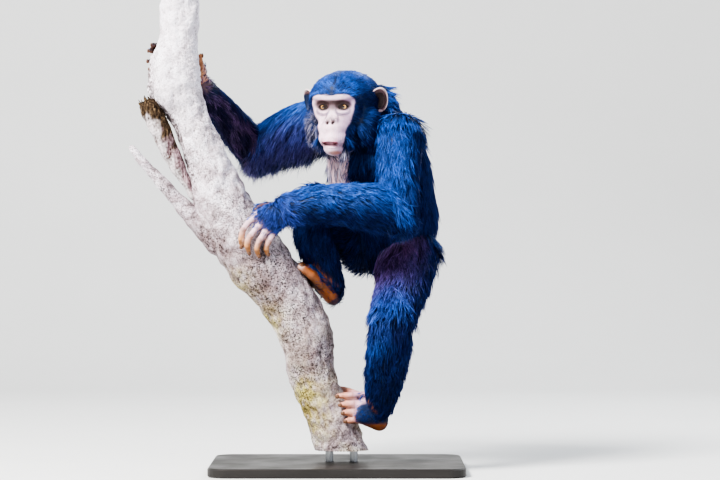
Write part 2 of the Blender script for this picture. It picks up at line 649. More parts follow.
class Shader:
    """A material with a Principled surface, and short ways to add nodes to it."""

    def __init__(self, finish: Finish) -> None:
        """Makes the material.

        Args:
            finish: the surface's constants.
        """
        self.material = bpy.data.materials.new(finish.name)
        self.material.use_nodes = True
        self.tree = self.material.node_tree
        self.surface = self.tree.nodes["Principled BSDF"]
        constants = {
            "Roughness": finish.roughness, "Metallic": finish.metallic,
            "Specular IOR Level": finish.specular, "Specular Tint": (*finish.tint, 1),
            "Sheen Weight": finish.sheen, "Sheen Tint": (*finish.sheen_tint, 1),
            "Coat Weight": finish.coat, "Coat Roughness": finish.coat_roughness,
            "Subsurface Weight": finish.subsurface, "Subsurface Radius": finish.radius,
            "Subsurface Scale": finish.depth,
        }
        for key, value in constants.items():
            self.surface.inputs[key].default_value = value
        self.place = self.add("ShaderNodeTexCoord").outputs["Object"]

    def add(self, kind: str, settings: dict | None = None, **inputs: Value) -> bpy.types.Node:
        """A new node.

        Args:
            kind: its type name.
            settings: its own properties.
            inputs: values or sockets for its inputs, with spaces in their names as underscores.
        """
        node = self.tree.nodes.new(kind)
        for key, value in (settings or {}).items():
            setattr(node, key, value)
        for key, value in inputs.items():
            self.put(node.inputs[key.replace("_", " ")], value)
        return node

    def put(self, socket: Socket, value: Value) -> None:
        """Links or sets a socket; a colour's alpha is 1."""
        if isinstance(value, Socket):
            self.tree.links.new(value, socket)
            return
        colour = socket.type == "RGBA" and isinstance(value, tuple) and len(value) == 3
        socket.default_value = (*value, 1.0) if colour else value

    def attribute(self, name: str, colour: bool = False) -> Socket:
        """The named value or colour stored on the mesh."""
        node = self.add("ShaderNodeAttribute", {"attribute_name": name})
        return node.outputs["Color" if colour else "Fac"]

    def noise(
        self, scale: float, detail: float = 4.0, roughness: float = 0.55, place: Socket | None = None,
        distortion: float = 0.0,
    ) -> Socket:
        """Noise from 0 to 1; scale is in features a metre."""
        node = self.add("ShaderNodeTexNoise", Vector=place or self.place, Scale=scale, Detail=detail,
                        Roughness=roughness, Distortion=distortion)
        return node.outputs["Fac"]

    def cells(self, scale: float, feature: str = "F1", place: Socket | None = None) -> Socket:
        """Distance to the nearest cell's middle or edge; scale is in cells a metre."""
        place = place or self.place
        node = self.add("ShaderNodeTexVoronoi", {"feature": feature}, Vector=place, Scale=scale)
        return node.outputs["Distance"]

    def stretched(self, factors: tuple, rotation: tuple = (0, 0, 0)) -> Socket:
        """The place with its axes scaled and turned."""
        node = self.add("ShaderNodeMapping", Vector=self.place)
        node.inputs["Scale"].default_value = factors
        node.inputs["Rotation"].default_value = rotation
        return node.outputs["Vector"]

    def ramp(self, value: Value, stops: list) -> Socket:
        """A colour ramp: stops are (place, colour)."""
        node = self.add("ShaderNodeValToRGB", Fac=value)
        points = node.color_ramp.elements
        while len(points) < len(stops):
            points.new(0.5)
        for point, (at, colour) in zip(points, stops):
            point.position = at
            point.color = (*colour, 1) if isinstance(colour, tuple) else (colour, colour, colour, 1)
        return node.outputs["Color"]

    def mix(self, share: Value, a: Value, b: Value, blend: str = "MIX") -> Socket:
        """Colours a and b mixed."""
        node = self.add("ShaderNodeMix", {"data_type": "RGBA", "blend_type": blend, "clamp_factor": True})
        for socket, value in ((node.inputs[0], share), (node.inputs[6], a), (node.inputs[7], b)):
            self.put(socket, value)
        return node.outputs[2]

    def maths(self, operation: str, a: Value, b: Value) -> Socket:
        """One sum on two numbers."""
        node = self.add("ShaderNodeMath", {"operation": operation})
        self.put(node.inputs[0], a)
        self.put(node.inputs[1], b)
        return node.outputs[0]

    def span(
        self, value: Value, low: float, high: float, to_low: float = 0.0, to_high: float = 1.0,
    ) -> Socket:
        """value moved from one range to another and kept inside it."""
        node = self.add("ShaderNodeMapRange", Value=value)
        for key, number in (("From Min", low), ("From Max", high), ("To Min", to_low), ("To Max", to_high)):
            node.inputs[key].default_value = number
        return node.outputs[0]

    def bump(self, height: Value, strength: float, distance: float, under: Socket | None = None) -> Socket:
        """A bumped normal over the one under it; distance is in metres."""
        node = self.add("ShaderNodeBump", Height=height, Strength=strength, Distance=distance)
        if under is not None:
            self.put(node.inputs["Normal"], under)
        return node.outputs["Normal"]

    def finish(
        self, colour: Socket, roughness: Socket | None = None, normal: Socket | None = None,
    ) -> bpy.types.Material:
        """Links the surface's inputs and returns the material."""
        for key, value in (("Base Color", colour), ("Roughness", roughness), ("Normal", normal)):
            if value is not None:
                self.put(self.surface.inputs[key], value)
        return self.material


class Palette:
    """All materials of the model."""

    def __init__(self) -> None:
        """Makes them all."""
        self.skin = self._skin()
        self.fur = self._fur()
        self.eye = self._eye()
        self.nail = self._nail()
        self.bark = self._bark()
        self.dead = self._dead()
        self.paint = self._paint()
        self.steel = self._steel()
        self.floor = self._floor()

    def _skin(self) -> bpy.types.Material:
        """Bare skin: its stored tones with freckles, pores, lines and folds."""
        s = Shader(Finish("skin", 0.52, specular=0.4, subsurface=0.12, radius=(1.0, 0.35, 0.25)))
        tone = s.attribute("Skin", True)
        mottle = s.ramp(s.noise(90, 6, 0.62), [(0.3, 0.72), (0.7, 1.12)])
        freckle = s.ramp(s.cells(420), [(0.0, 0.78), (0.28, 1.0)])
        colour = s.mix(1.0, s.mix(0.7, tone, mottle, "MULTIPLY"), freckle, "MULTIPLY")
        pores = s.bump(s.noise(900, 3, 0.6), 0.35, 0.0006)
        lines = s.bump(s.cells(300, "DISTANCE_TO_EDGE"), 0.25, 0.0008, pores)
        folds = s.bump(s.noise(140, 5, 0.6, distortion=0.6), 0.5, 0.0022, lines)
        return s.finish(colour, s.span(s.noise(160, 4), 0.3, 0.7, 0.42, 0.62), folds)

    def _fur(self) -> bpy.types.Material:
        """Glossy fur in its stored tones, with a blue sheen."""
        s = Shader(Finish(
            "fur", 0.40, specular=0.5, tint=(0.40, 0.58, 1.0), sheen=0.02, sheen_tint=(0.3, 0.5, 1.0),
        ))
        tone = s.attribute("Coat", True)
        clump = s.ramp(s.noise(90, 4, 0.6), [(0.3, 0.75), (0.72, 1.2)])
        return s.finish(s.mix(1.0, tone, clump, "MULTIPLY"), s.span(s.noise(130, 3), 0.3, 0.7, 0.34, 0.5))

    def _eye(self) -> bpy.types.Material:
        """Iris, pupil and white by the angle from the gaze, under a clear coat."""
        s = Shader(Finish("eye", 0.12, specular=0.5, coat=1.0))
        angle = s.attribute("Gaze")
        spokes = s.noise(1500, 3, 0.6)
        iris = s.mix(spokes, (0.34, 0.15, 0.04), (0.80, 0.46, 0.16))
        white = s.mix(s.noise(400, 3), (0.06, 0.03, 0.02), (0.12, 0.07, 0.05))
        rim = s.span(angle, 0.56, 0.62)
        colour = s.mix(rim, s.mix(s.span(angle, 0.48, 0.57), iris, (0.05, 0.02, 0.01)), white)
        return s.finish(s.mix(s.span(angle, 0.23, 0.27), (0.002, 0.002, 0.002), colour))

    def _nail(self) -> bpy.types.Material:
        """Brown horn."""
        s = Shader(Finish("nail", 0.35, specular=0.5))
        colour = s.mix(s.noise(260, 4, 0.6), (0.10, 0.045, 0.025), (0.22, 0.11, 0.06))
        return s.finish(colour, None, s.bump(s.noise(500, 3), 0.2, 0.0005))

    def _bark(self) -> bpy.types.Material:
        """Pale bark with pits, stains, lichen, dark cracks and cut wood."""
        s = Shader(Finish("bark", 0.85, specular=0.25))
        high = s.attribute("Height")
        scatter = s.noise(6, 4, 0.6)
        pale = s.mix(s.noise(24, 4, 0.5), (0.78, 0.72, 0.79), (0.96, 0.93, 0.97))
        grey = s.mix(s.noise(40, 6, 0.62), (0.34, 0.28, 0.31), (0.84, 0.77, 0.82))
        olive = s.mix(s.noise(60, 5, 0.62), (0.34, 0.30, 0.08), (0.78, 0.70, 0.30))
        low = s.maths("ADD", high, s.span(scatter, 0.3, 0.7, -0.13, 0.13))
        base = s.mix(s.span(low, 0.50, 0.68), grey, pale)
        lichen = s.span(s.noise(11, 5, 0.6), 0.46, 0.56)
        spread = s.maths("MULTIPLY", lichen, s.span(high, 0.42, 0.16, 0.0, 0.3))
        base = s.mix(s.maths("ADD", spread, s.maths("MULTIPLY", s.attribute("Lichen"), 0.75)), base, olive)
        pits = s.ramp(s.noise(300, 6, 0.7), [(0.40, 0.03), (0.46, 0.35), (0.50, 1.0)])
        stains = s.ramp(s.noise(34, 8, 0.72, distortion=0.8),
                        [(0.38, (0.16, 0.11, 0.10)), (0.46, (0.60, 0.52, 0.52)), (0.6, WHITE)])
        dark = s.attribute("Stain")
        patchy = s.span(s.noise(9, 3), 0.38, 0.6, 0.4, 1.0)
        amount = s.maths("MULTIPLY", patchy, s.span(low, 0.9, 0.5, 0.35, 1.0))
        base = s.mix(s.maths("MULTIPLY", dark, 0.75), base, (0.42, 0.34, 0.31), "MULTIPLY")
        base = s.mix(s.maths("MAXIMUM", amount, dark), base, pits, "MULTIPLY")
        base = s.mix(s.span(low, 0.95, 0.6, 0.3, 0.8), base, stains, "MULTIPLY")
        crack = s.ramp(s.attribute("Hollow"), [(0.12, (0.10, 0.07, 0.06)), (0.42, WHITE)])
        base = s.mix(0.8, base, crack, "MULTIPLY")
        wood = s.mix(s.noise(120, 5, 0.6), (0.36, 0.24, 0.14), (0.60, 0.45, 0.30))
        base = s.mix(s.attribute("Cut"), base, wood)
        fine = s.bump(s.noise(260, 8, 0.7), 0.45, 0.002)
        scale = s.bump(s.cells(90, "DISTANCE_TO_EDGE", s.stretched((1, 1, 0.45))), 0.2, 0.002, fine)
        return s.finish(base, None, s.bump(s.noise(45, 6, 0.65), 0.5, 0.004, scale))

    def _dead(self) -> bpy.types.Material:
        """The stump's broken wood, rotten towards its top, in what is left of its bark."""
        s = Shader(Finish("dead_wood", 0.92, specular=0.15))
        grain = s.noise(240, 6, 0.7, s.stretched((1, 1, 0.12), (0, 0.4, 0)))
        rotten = s.ramp(grain, [
            (0.36, (0.008, 0.005, 0.004)), (0.5, (0.07, 0.045, 0.028)), (0.7, (0.34, 0.24, 0.14)),
        ])
        inner = s.ramp(grain, [
            (0.34, (0.04, 0.022, 0.025)), (0.48, (0.30, 0.20, 0.22)), (0.62, (0.62, 0.48, 0.50)),
        ])
        high = s.maths("ADD", s.attribute("Height"), s.span(s.noise(45, 4), 0.3, 0.7, -0.03, 0.03))
        colour = s.mix(s.span(high, 0.665, 0.70), inner, rotten)
        shell = s.mix(s.noise(50, 5, 0.6), (0.50, 0.45, 0.45), (0.86, 0.80, 0.82))
        colour = s.mix(s.attribute("Shell"), colour, shell)
        crack = s.ramp(s.attribute("Hollow"), [(0.2, (0.12, 0.08, 0.07)), (0.6, WHITE)])
        return s.finish(s.mix(1.0, colour, crack, "MULTIPLY"), None, s.bump(grain, 0.9, 0.005))

    def _paint(self) -> bpy.types.Material:
        """Dark paint with a faint grain."""
        s = Shader(Finish("stand_paint", 0.42, specular=0.4))
        grain = s.noise(60, 6, 0.6, s.stretched((0.15, 1, 1)))
        colour = s.mix(grain, (0.020, 0.018, 0.017), (0.040, 0.036, 0.033))
        dust = s.span(s.noise(9, 5), 0.35, 0.7, 0.34, 0.52)
        return s.finish(colour, dust, s.bump(grain, 0.12, 0.0006))

    def _steel(self) -> bpy.types.Material:
        """Brushed steel."""
        s = Shader(Finish("rod_steel", 0.3, metallic=1.0))
        brush = s.noise(500, 4, 0.6, s.stretched((1, 1, 0.03)))
        colour = s.mix(brush, (0.42, 0.43, 0.44), (0.62, 0.63, 0.64))
        return s.finish(colour, s.span(brush, 0.3, 0.7, 0.24, 0.4), s.bump(brush, 0.1, 0.0003))

    def _floor(self) -> bpy.types.Material:
        """The studio's pale floor."""
        s = Shader(Finish("floor", 0.7, specular=0.3))
        return s.finish(s.mix(s.noise(3, 4), (0.72, 0.72, 0.71), (0.76, 0.76, 0.75)))


# The animal


class Ear:
    """One ear: a bowl with a rolled rim, a ridge inside it and a flap at its front."""

    RINGS = 26
    SIDES = 72
    HALF = (23.0, 29.0)
    THICK = 3.6
    REACH = 42

    def __init__(self, head: HeadForm, side: Side) -> None:
        """Sets the ear's frame: x outwards, y forwards and z up.

        Args:
            head: the head it grows on.
            side: which side of the head.
        """
        f = head.face
        sign = side.value
        self.matrix = (
            head.matrix @ Matrix.Translation(Vector((f.ear[0] * sign, f.ear[1], f.ear[2])) * MM)
            @ Matrix.Rotation(math.radians(f.ear_swing * sign), 4, "Z")
            @ Matrix.Rotation(math.radians(f.ear_lean * sign), 4, "Y") @ Matrix.Diagonal((sign, 1, 1, 1))
        )

    def outer(self, v: float, u: np.ndarray) -> np.ndarray:
        """Points of the outer face.

        Args:
            v: share of the way from the middle to the rim.
            u: angles round it, from the front upwards.
        """
        lobe = bell((u - 1.5 * np.pi) / 0.45)
        reach = 1 + 0.03 * np.cos(3 * u) - 0.06 * lobe
        y, z = self.HALF[0] * v * np.cos(u) * reach, self.HALF[1] * v * np.sin(u) * reach
        free = 0.5 - 0.5 * np.cos(u)
        rim = 4.4 * bell((v - 0.94) / 0.06) * (0.45 + 0.55 * free) * (1 - 0.8 * lobe)
        groove = -2.4 * bell((v - 0.80) / 0.07) * free
        ridge = 3.0 * bell((v - 0.62) / 0.08) * free
        bowl = -8.0 * bell((y - 4) / 10, (z + 1) / 12)
        flap = 4.0 * bell((y - 17) / 4.0, (z + 5) / 6)
        x = rim + groove + ridge + bowl + flap + 2.0 * (1 - v * v) - 0.004 * y * y
        return np.stack([x, y, z], axis=1)

    def build(self, bm: bmesh.types.BMesh) -> None:
        """Adds the ear to bm."""
        u = np.arange(self.SIDES) / self.SIDES * 2 * np.pi
        shares = np.linspace(0.06, 1, self.RINGS)
        rings = [self.outer(v, u) for v in shares]
        for v in reversed(shares):
            back = self.outer(v, u)
            back[:, 0] = np.minimum(back[:, 0], 2.0) - self.THICK * math.sqrt(max(1 - v**6, 0.02))
            rings.append(back)
        loops = []
        for ring in rings:
            made = bmesh.ops.create_circle(bm, cap_ends=False, radius=1.0, segments=self.SIDES)["verts"]
            loops.append(list({e for v in made for e in v.link_edges}))
            for vertex, point in zip(made, ring):
                vertex.co = self.matrix @ (Vector(point) * MM)
        for edges in (loops[0], loops[-1]):
            bmesh.ops.contextual_create(bm, geom=edges)
        for a, b in zip(loops, loops[1:]):
            bmesh.ops.bridge_loops(bm, edges=a + b)


@dataclass(frozen=True)
class FleshSizes:
    """How fine the skin's mesh is, and millimetres added to the haired limbs and the digits."""

    voxel: float = 3.6
    rounds: int = 3
    core: float = 4.5
    finger_grow: float = -1.6
    toe_grow: float = -0.8


@dataclass(frozen=True)
class SkinTones:
    """Colours of the bare skin and its marks."""

    under_fur: tuple = (0.006, 0.018, 0.070)
    face: tuple = (0.80, 0.60, 0.69)
    freckle: tuple = (0.55, 0.33, 0.36)
    lilac: tuple = (0.60, 0.44, 0.54)
    brown: tuple = (0.036, 0.014, 0.013)
    bridge: tuple = (0.07, 0.035, 0.04)
    shade: tuple = (0.34, 0.22, 0.36)
    crease: tuple = (0.16, 0.11, 0.17)
    lid: tuple = (0.020, 0.009, 0.008)
    pouch: tuple = (0.15, 0.11, 0.17)
    nostril: tuple = (0.04, 0.015, 0.015)
    lips: tuple = (0.62, 0.17, 0.22)
    mouth: tuple = (0.10, 0.008, 0.015)
    chin: tuple = (0.50, 0.20, 0.10)
    ear: tuple = (0.16, 0.09, 0.10)
    ear_rim: tuple = (0.74, 0.58, 0.58)
    lobe: tuple = (0.66, 0.48, 0.50)
    bowl: tuple = (0.022, 0.009, 0.009)
    ear_shade: tuple = (0.008, 0.022, 0.075)
    palm: tuple = (0.62, 0.32, 0.24)
    sole: tuple = (0.33, 0.105, 0.032)
    underside: tuple = (0.208, 0.088, 0.040)
    fold: tuple = (0.26, 0.11, 0.05)
    gap: tuple = (0.05, 0.02, 0.015)
    throat: tuple = (0.74, 0.50, 0.55)


TONES = SkinTones()

# Colours of the digits at root and tip
DIGIT_TONES = {
    "finger_left": ((0.72, 0.50, 0.56), (0.62, 0.29, 0.08)),
    "finger_left_thumb": ((0.012, 0.036, 0.140), TONES.fold),
    "finger_right": ((0.06, 0.028, 0.03), (0.022, 0.010, 0.014)),
    "finger_right_thumb": ((0.62, 0.29, 0.13), (0.45, 0.2, 0.1)),
    "toe_left": ((0.60, 0.36, 0.44), (0.66, 0.30, 0.20)),
    "toe_right": (TONES.sole, (0.74, 0.50, 0.44)),
}

# The way each palm and sole faces, and how squarely the skin faces that way where it starts to be bare and
# where it is wholly bare
INWARDS = {
    "hand_left": (-0.1, 0.9, -0.3), "hand_right": (0.2, -0.9, 0.1),
    "foot_left": (-0.72, 0.1, -0.6), "foot_right": (-0.68, -0.68, -0.25),
}
PALM_EDGES = {
    "hand_left": (0.5, 0.8), "hand_right": (-0.1, 0.35), "foot_left": (0.3, 0.6), "foot_right": (-0.05, 0.2),
}


class Paint:
    """A colour for each of some places, painted in layers."""

    def __init__(self, count: int, base: tuple) -> None:
        """Starts with one colour everywhere.

        Args:
            count: how many places there are.
            base: their first colour.
        """
        self.colour = np.tile(np.array(base), (count, 1))

    def add(self, tone: tuple, mask: np.ndarray) -> None:
        """Mixes tone in: not at all where mask is 0, wholly where it is 1."""
        self.colour += (np.array(tone) - self.colour) * np.clip(mask, 0, 1)[:, None]


def throat(places: np.ndarray, normals: np.ndarray) -> np.ndarray:
    """1 on the thinly haired strip from the chin down to the chest and 0 off it.

    Args:
        places: millimetres, one row each.
        normals: the surface's normals there.
    """
    share = (700 - places[:, 2]) / 75
    above = smoothstep(0.0, -0.3, share)
    aside = np.abs(places[:, 0] - (-15 + 26 * np.maximum(share, 0))) + 12 * above
    front = smoothstep(0.1, 0.45, normals @ np.array([-0.55, -0.83, 0.0]))
    front *= smoothstep(-56, -42, places[:, 1] - 14 * above)
    ends = smoothstep(-0.95, -0.7, share) * (1 - smoothstep(0.9, 1.3, share))
    return front * (1 - smoothstep(34, 42, aside)) * ends


class Flesh:
    """The bare body as one skin."""

    def __init__(self, head: HeadForm, limbs: dict, digit_limbs: list) -> None:
        """Takes the forms that the skin covers.

        Args:
            head: the head's form.
            limbs: name to Limb of everything but the digits.
            digit_limbs: fingers and toes.
        """
        self.head = head
        self.limbs = limbs
        self.digits = digit_limbs
        self.sizes = FleshSizes()
        self.ear_start = 0

    def build(self, material: bpy.types.Material) -> bpy.types.Object:
        """The skin object, with its marks stored as colours."""
        bm = bmesh.new()
        for name, limb in self.limbs.items():
            bare = name.startswith(("hand", "foot"))
            add_loft(bm, limb, 40 if name == "torso" else 24, 14, 0.0 if bare else self.sizes.core)
        for limb in self.digits:
            grow = self.sizes.finger_grow if limb.name.startswith("finger") else self.sizes.toe_grow
            add_loft(bm, limb, 14, 9, grow)
            for share in KNUCKLES:
                at, *_, wide, _ = limb.frames(np.array([share]))
                add_ball(bm, Matrix(), tuple(at[0]), (wide[0] + grow + 0.9,) * 3, 14)
        for form in HEAD_FORMS:
            for sign in (1, -1) if form.pair else (1,):
                add_ball(bm, self.head.matrix, (form.at[0] * sign, *form.at[1:]), form.radii, 36)
        x, y, z = self.head.face.ear
        for side in Side:
            add_ball(bm, self.head.matrix, ((x - 13) * side.value, y + 8, z - 4), (13, 13, 18))
        obj = from_bmesh("skin", bm, material)
        remesh = obj.modifiers.new("union", "REMESH")
        remesh.mode = "VOXEL"
        remesh.voxel_size = self.sizes.voxel * MM
        smooth = obj.modifiers.new("ease", "SMOOTH")
        smooth.factor = 0.5
        smooth.iterations = self.sizes.rounds
        applied(obj)
        self._refine(obj)
        self._shape_head(obj.data)
        self._add_ears(obj)
        obj.data.polygons.foreach_set("use_smooth", [True] * len(obj.data.polygons))
        if not obj.data.materials:
            obj.data.materials.append(material)
        self._colour(obj.data)
        log.info("skin: %d faces", len(obj.data.polygons))
        return obj

    def _refine(self, obj: bpy.types.Object) -> None:
        """Makes the mesh finer over the face, then finer again round the eyes, nose and mouth."""
        face = self.head.face
        for level in range(3):
            bm = bmesh.new()
            bm.from_mesh(obj.data)
            bm.verts.ensure_lookup_table()
            local = self.head.local(vertices_of(obj.data) / MM)
            x, y, z = local.T
            if level < 2:
                chosen = (y > (20, 38)[level]) & (np.abs(x) < 62) & (z > -97) & (z < 66)
            else:
                left, right = (off_centre(local, (sign * face.eye[0], 68, face.eye[2]), (17, 20, 12))
                               for sign in (-1, 1))
                nose = off_centre(local, (0, 88, -11), (20, 16, 14))
                mouth = off_centre(local, (0, 84, -59), (34, 26, 12))
                chosen = np.minimum.reduce([left, right, nose, mouth]) < 1
            edges = [e for e in bm.edges if chosen[e.verts[0].index] and chosen[e.verts[1].index]]
            bmesh.ops.subdivide_edges(bm, edges=edges, cuts=1, use_grid_fill=True)
            bm.to_mesh(obj.data)
            bm.free()

    def _shape_head(self, mesh: bpy.types.Mesh) -> None:
        """Draws the head's vertices onto its finished form."""
        places = vertices_of(mesh)
        local = self.head.local(places / MM)
        weight = smoothstep(-72, -50, local[:, 2] + 0.5 * local[:, 1])
        near = (np.linalg.norm(local - (0, 10, 0), axis=1) < 150) & (weight > 0)
        near &= np.abs(self.head.skull(local)) < 20
        drawn = self.head.draw_on(local[near])
        moved = local[near] + (drawn - local[near]) * weight[near][:, None]
        places[near] = self.head.world(moved) * MM
        set_vertices(mesh, places)

    def _add_ears(self, obj: bpy.types.Object) -> None:
        """Joins both ears into the skin."""
        bm = bmesh.new()
        for side in Side:
            Ear(self.head, side).build(bm)
        bmesh.ops.recalc_face_normals(bm, faces=bm.faces)
        ears = bpy.data.meshes.new("ears")
        bm.to_mesh(ears)
        bm.free()
        self.ear_start = len(obj.data.vertices)
        whole = bmesh.new()
        whole.from_mesh(obj.data)
        whole.from_mesh(ears)
        whole.to_mesh(obj.data)
        whole.free()
        bpy.data.meshes.remove(ears)

    def _colour(self, mesh: bpy.types.Mesh) -> None:
        """Stores the skin's marks as a colour for each vertex."""
        places = vertices_of(mesh) / MM
        normals = normals_of(mesh)
        local = self.head.local(places)
        paint = Paint(len(places), TONES.under_fur)
        in_head = (self.head.skull(local) < 22) & (np.linalg.norm(local - (0, 20, -10), axis=1) < 125)
        bare = self.head.bare(local) * in_head
        self._paint_face(paint, places, local, bare)
        self._paint_eyes(paint, local, bare)
        self._paint_mouth(paint, local, bare)
        self._paint_ears(paint, places)
        self._paint_palms(paint, places, normals)
        self._paint_digits(paint, places, normals)
        paint.add(TONES.throat, 0.95 * throat(places, normals) * (1 - bare))
        set_colours(mesh, "Skin", paint.colour)

    def _paint_face(self, paint: Paint, places: np.ndarray, local: np.ndarray, bare: np.ndarray) -> None:
        """Paints the pale mask with its freckles, brown eye band and lilac shadow side.

        Args:
            paint: the colour so far.
            places: world places in millimetres.
            local: the same places in the head's frame.
            bare: 1 on the face.
        """
        x, y, z = local.T
        paint.add(TONES.face, bare)
        paint.add(TONES.freckle, 0.3 * (0.5 + 0.5 * waves(places, 14, 3)) * bare)
        paint.add(TONES.lilac, 0.6 * bell((z - 42) / 5) * smoothstep(30, 45, y) * bare)
        band = np.exp(-((x / 42) ** 6) - ((z - 30) / 6.5) ** 4) * smoothstep(30, 45, y)
        paint.add(TONES.brown, 0.95 * band * bare)
        bridge = np.exp(-((x / 13) ** 2) - ((z - 21) / 9) ** 4)
        paint.add(TONES.bridge, 0.85 * bridge * bare)
        paint.add(TONES.shade, 0.7 * smoothstep(-2, -30, x + 0.2 * z + 6) * bare)
        crease = bell((np.abs(x) - 15 + 0.35 * (z + 5)) / 2.2, (z + 2) / 13) * smoothstep(50, 60, y)
        paint.add(TONES.crease, 0.75 * crease * bare)

    def _paint_eyes(self, paint: Paint, local: np.ndarray, bare: np.ndarray) -> None:
        """Paints the dark skin round the eyes and the pouches under them."""
        f = self.head.face
        below = local[:, 2] < f.eye[2] - 4
        for sign in (1, -1):
            ring = off_centre(local, (f.eye[0] * sign, 66, f.eye[2] + 4), (21, 40, 14))
            paint.add(TONES.brown, 0.9 * (1 - smoothstep(0.66, 1.08, ring)) * bare)
            rim = off_centre(local, (f.eye[0] * sign, 66, f.eye[2]), (13.5, 40, 7.8))
            paint.add(TONES.lid, 0.95 * (1 - smoothstep(0.75, 1.02, rim)) * bare)
            outer = off_centre(local, (23 * sign, 62, f.eye[2] - 8), (19, 40, 13))
            inner = off_centre(local, (22 * sign, 62, f.eye[2] - 5), (15, 40, 9))
            pouch = (1 - smoothstep(0.8, 1.1, outer)) * smoothstep(0.75, 1.1, inner) * below
            paint.add(TONES.pouch, 0.75 * pouch * bare)

    def _paint_mouth(self, paint: Paint, local: np.ndarray, bare: np.ndarray) -> None:
        """Paints the nostrils, the lips' edges, the opening between them and the chin's spot."""
        f = self.head.face
        x, y, z = local.T
        holes = [off_centre(local, (sign * f.nostril[0], *f.nostril[1:]), (3.4, 9, 3.6)) for sign in (1, -1)]
        paint.add(TONES.nostril, (1 - smoothstep(0.75, 1.25, np.minimum(*holes))) * bare)
        share, _ = self.head.arch(x)
        middle = (f.lip_upper + f.lip_lower) / 2 + f.mouth_bow * share**2
        across = smoothstep(-19, -14, x) * smoothstep(23, 20, x) * smoothstep(74, 84, y)
        paint.add(TONES.lips, 0.8 * bell((z - middle - 1) / 5.2) * across * bare)
        paint.add(TONES.mouth, 0.97 * np.exp(-(((z - middle) / 3.5) ** 4)) * across * bare)
        chin = off_centre(local, (-6, 84, -80), (17, 24, 7))
        paint.add(TONES.chin, 0.7 * (1 - smoothstep(0.4, 1.1, chin)) * bare)

    def _paint_ears(self, paint: Paint, places: np.ndarray) -> None:
        """Paints the ears' pale rims and lobes, their dark bowls and the right one's shaded lower part."""
        ear = np.arange(len(places)) >= self.ear_start
        for side in Side:
            inverse = Ear(self.head, side).matrix.inverted()
            q = np.array(inverse.to_3x3()) @ (places.T * MM) + np.array(inverse.translation)[:, None]
            q = q.T / MM
            mine = ear & (np.linalg.norm(q, axis=1) < Ear.REACH)
            out = np.hypot(q[:, 1] / Ear.HALF[0], q[:, 2] / Ear.HALF[1])
            paint.add(TONES.ear, mine.astype(float))
            edge = smoothstep(0.82, 0.93, out) * smoothstep(-26, 4, q[:, 2] - 0.5 * q[:, 1])
            paint.add(TONES.ear_rim, edge * mine)
            lobe = off_centre(q[:, 1:], (-2, -26), (9, 6))
            paint.add(TONES.lobe, 0.9 * (1 - smoothstep(0.6, 1.1, lobe)) * mine)
            paint.add(TONES.bowl, 0.95 * (1 - smoothstep(0.55, 0.86, out)) * mine)
            if side is Side.RIGHT:
                paint.add(TONES.ear_shade, smoothstep(20, 12, q[:, 2]) * mine)

    def _paint_palms(self, paint: Paint, places: np.ndarray, normals: np.ndarray) -> None:
        """Paints the bare palms and soles."""
        for name, inwards in INWARDS.items():
            d, along = limb_distance(self.limbs[name], places)
            inner = smoothstep(*PALM_EDGES[name], normals @ unit(np.array(inwards, float)))
            if name == "foot_left":
                heel = smoothstep(-0.1, 0.25, -normals[:, 2]) * smoothstep(112, 102, places[:, 2])
                inner = np.maximum(inner, heel)
            tone = TONES.palm if name.startswith("hand") else TONES.sole
            paint.add(tone, (1 - smoothstep(2, 9, d)) * smoothstep(-0.05, 0.1, along) * inner)

    def _paint_digits(self, paint: Paint, places: np.ndarray, normals: np.ndarray) -> None:
        """Paints the digits from root to tip, their joints' folds and the dark gaps between them."""
        nearest, second = np.full(len(places), 1e9), np.full(len(places), 1e9)
        for limb in self.digits:
            d, along = limb_distance(limb, places, 21)
            root, tip = DIGIT_TONES.get(limb.name, DIGIT_TONES.get(limb.name.rsplit("_", 1)[0]))
            near = 1 - smoothstep(2, 6, d)
            paint.add(root, near)
            pale = (0.72, 0.95) if limb.name.startswith("toe_right") else (0.2, 0.7)
            paint.add(tip, 0.9 * near * smoothstep(*pale, along))
            paint.add(TONES.underside, 0.75 * near * smoothstep(0.1, 0.8, -normals[:, 2] + 0.2))
            folds = sum(bell((along - knuckle) / 0.07) for knuckle in KNUCKLES)
            paint.add(TONES.fold, 0.5 * near * folds * (0.5 + 0.5 * np.cos(along * 160)))
            second = np.minimum(second, np.maximum(nearest, d))
            nearest = np.minimum(nearest, d)
        paint.add(TONES.gap, 0.9 * (1 - smoothstep(1.5, 5.0, second)))


def limb_distance(limb: Limb, places: np.ndarray, samples: int = 15) -> tuple:
    """How far places are outside a limb, and their share of the way along it.

    Args:
        limb: the form.
        places: millimetres, one row each.
        samples: sections looked at.
    Returns:
        Two rows of numbers: millimetres outside, and shares from 0 to 1.
    """
    shares = np.linspace(0, 1, samples)
    at, _, _, _, wide, deep = limb.frames(shares)
    square = (places**2).sum(1)[:, None] - 2 * places @ at.T + (at**2).sum(1)[None, :]
    outside = np.sqrt(np.maximum(square, 0)) - ((wide + deep) / 2)[None, :]
    nearest = outside.argmin(axis=1)
    return outside[np.arange(len(places)), nearest], shares[nearest]


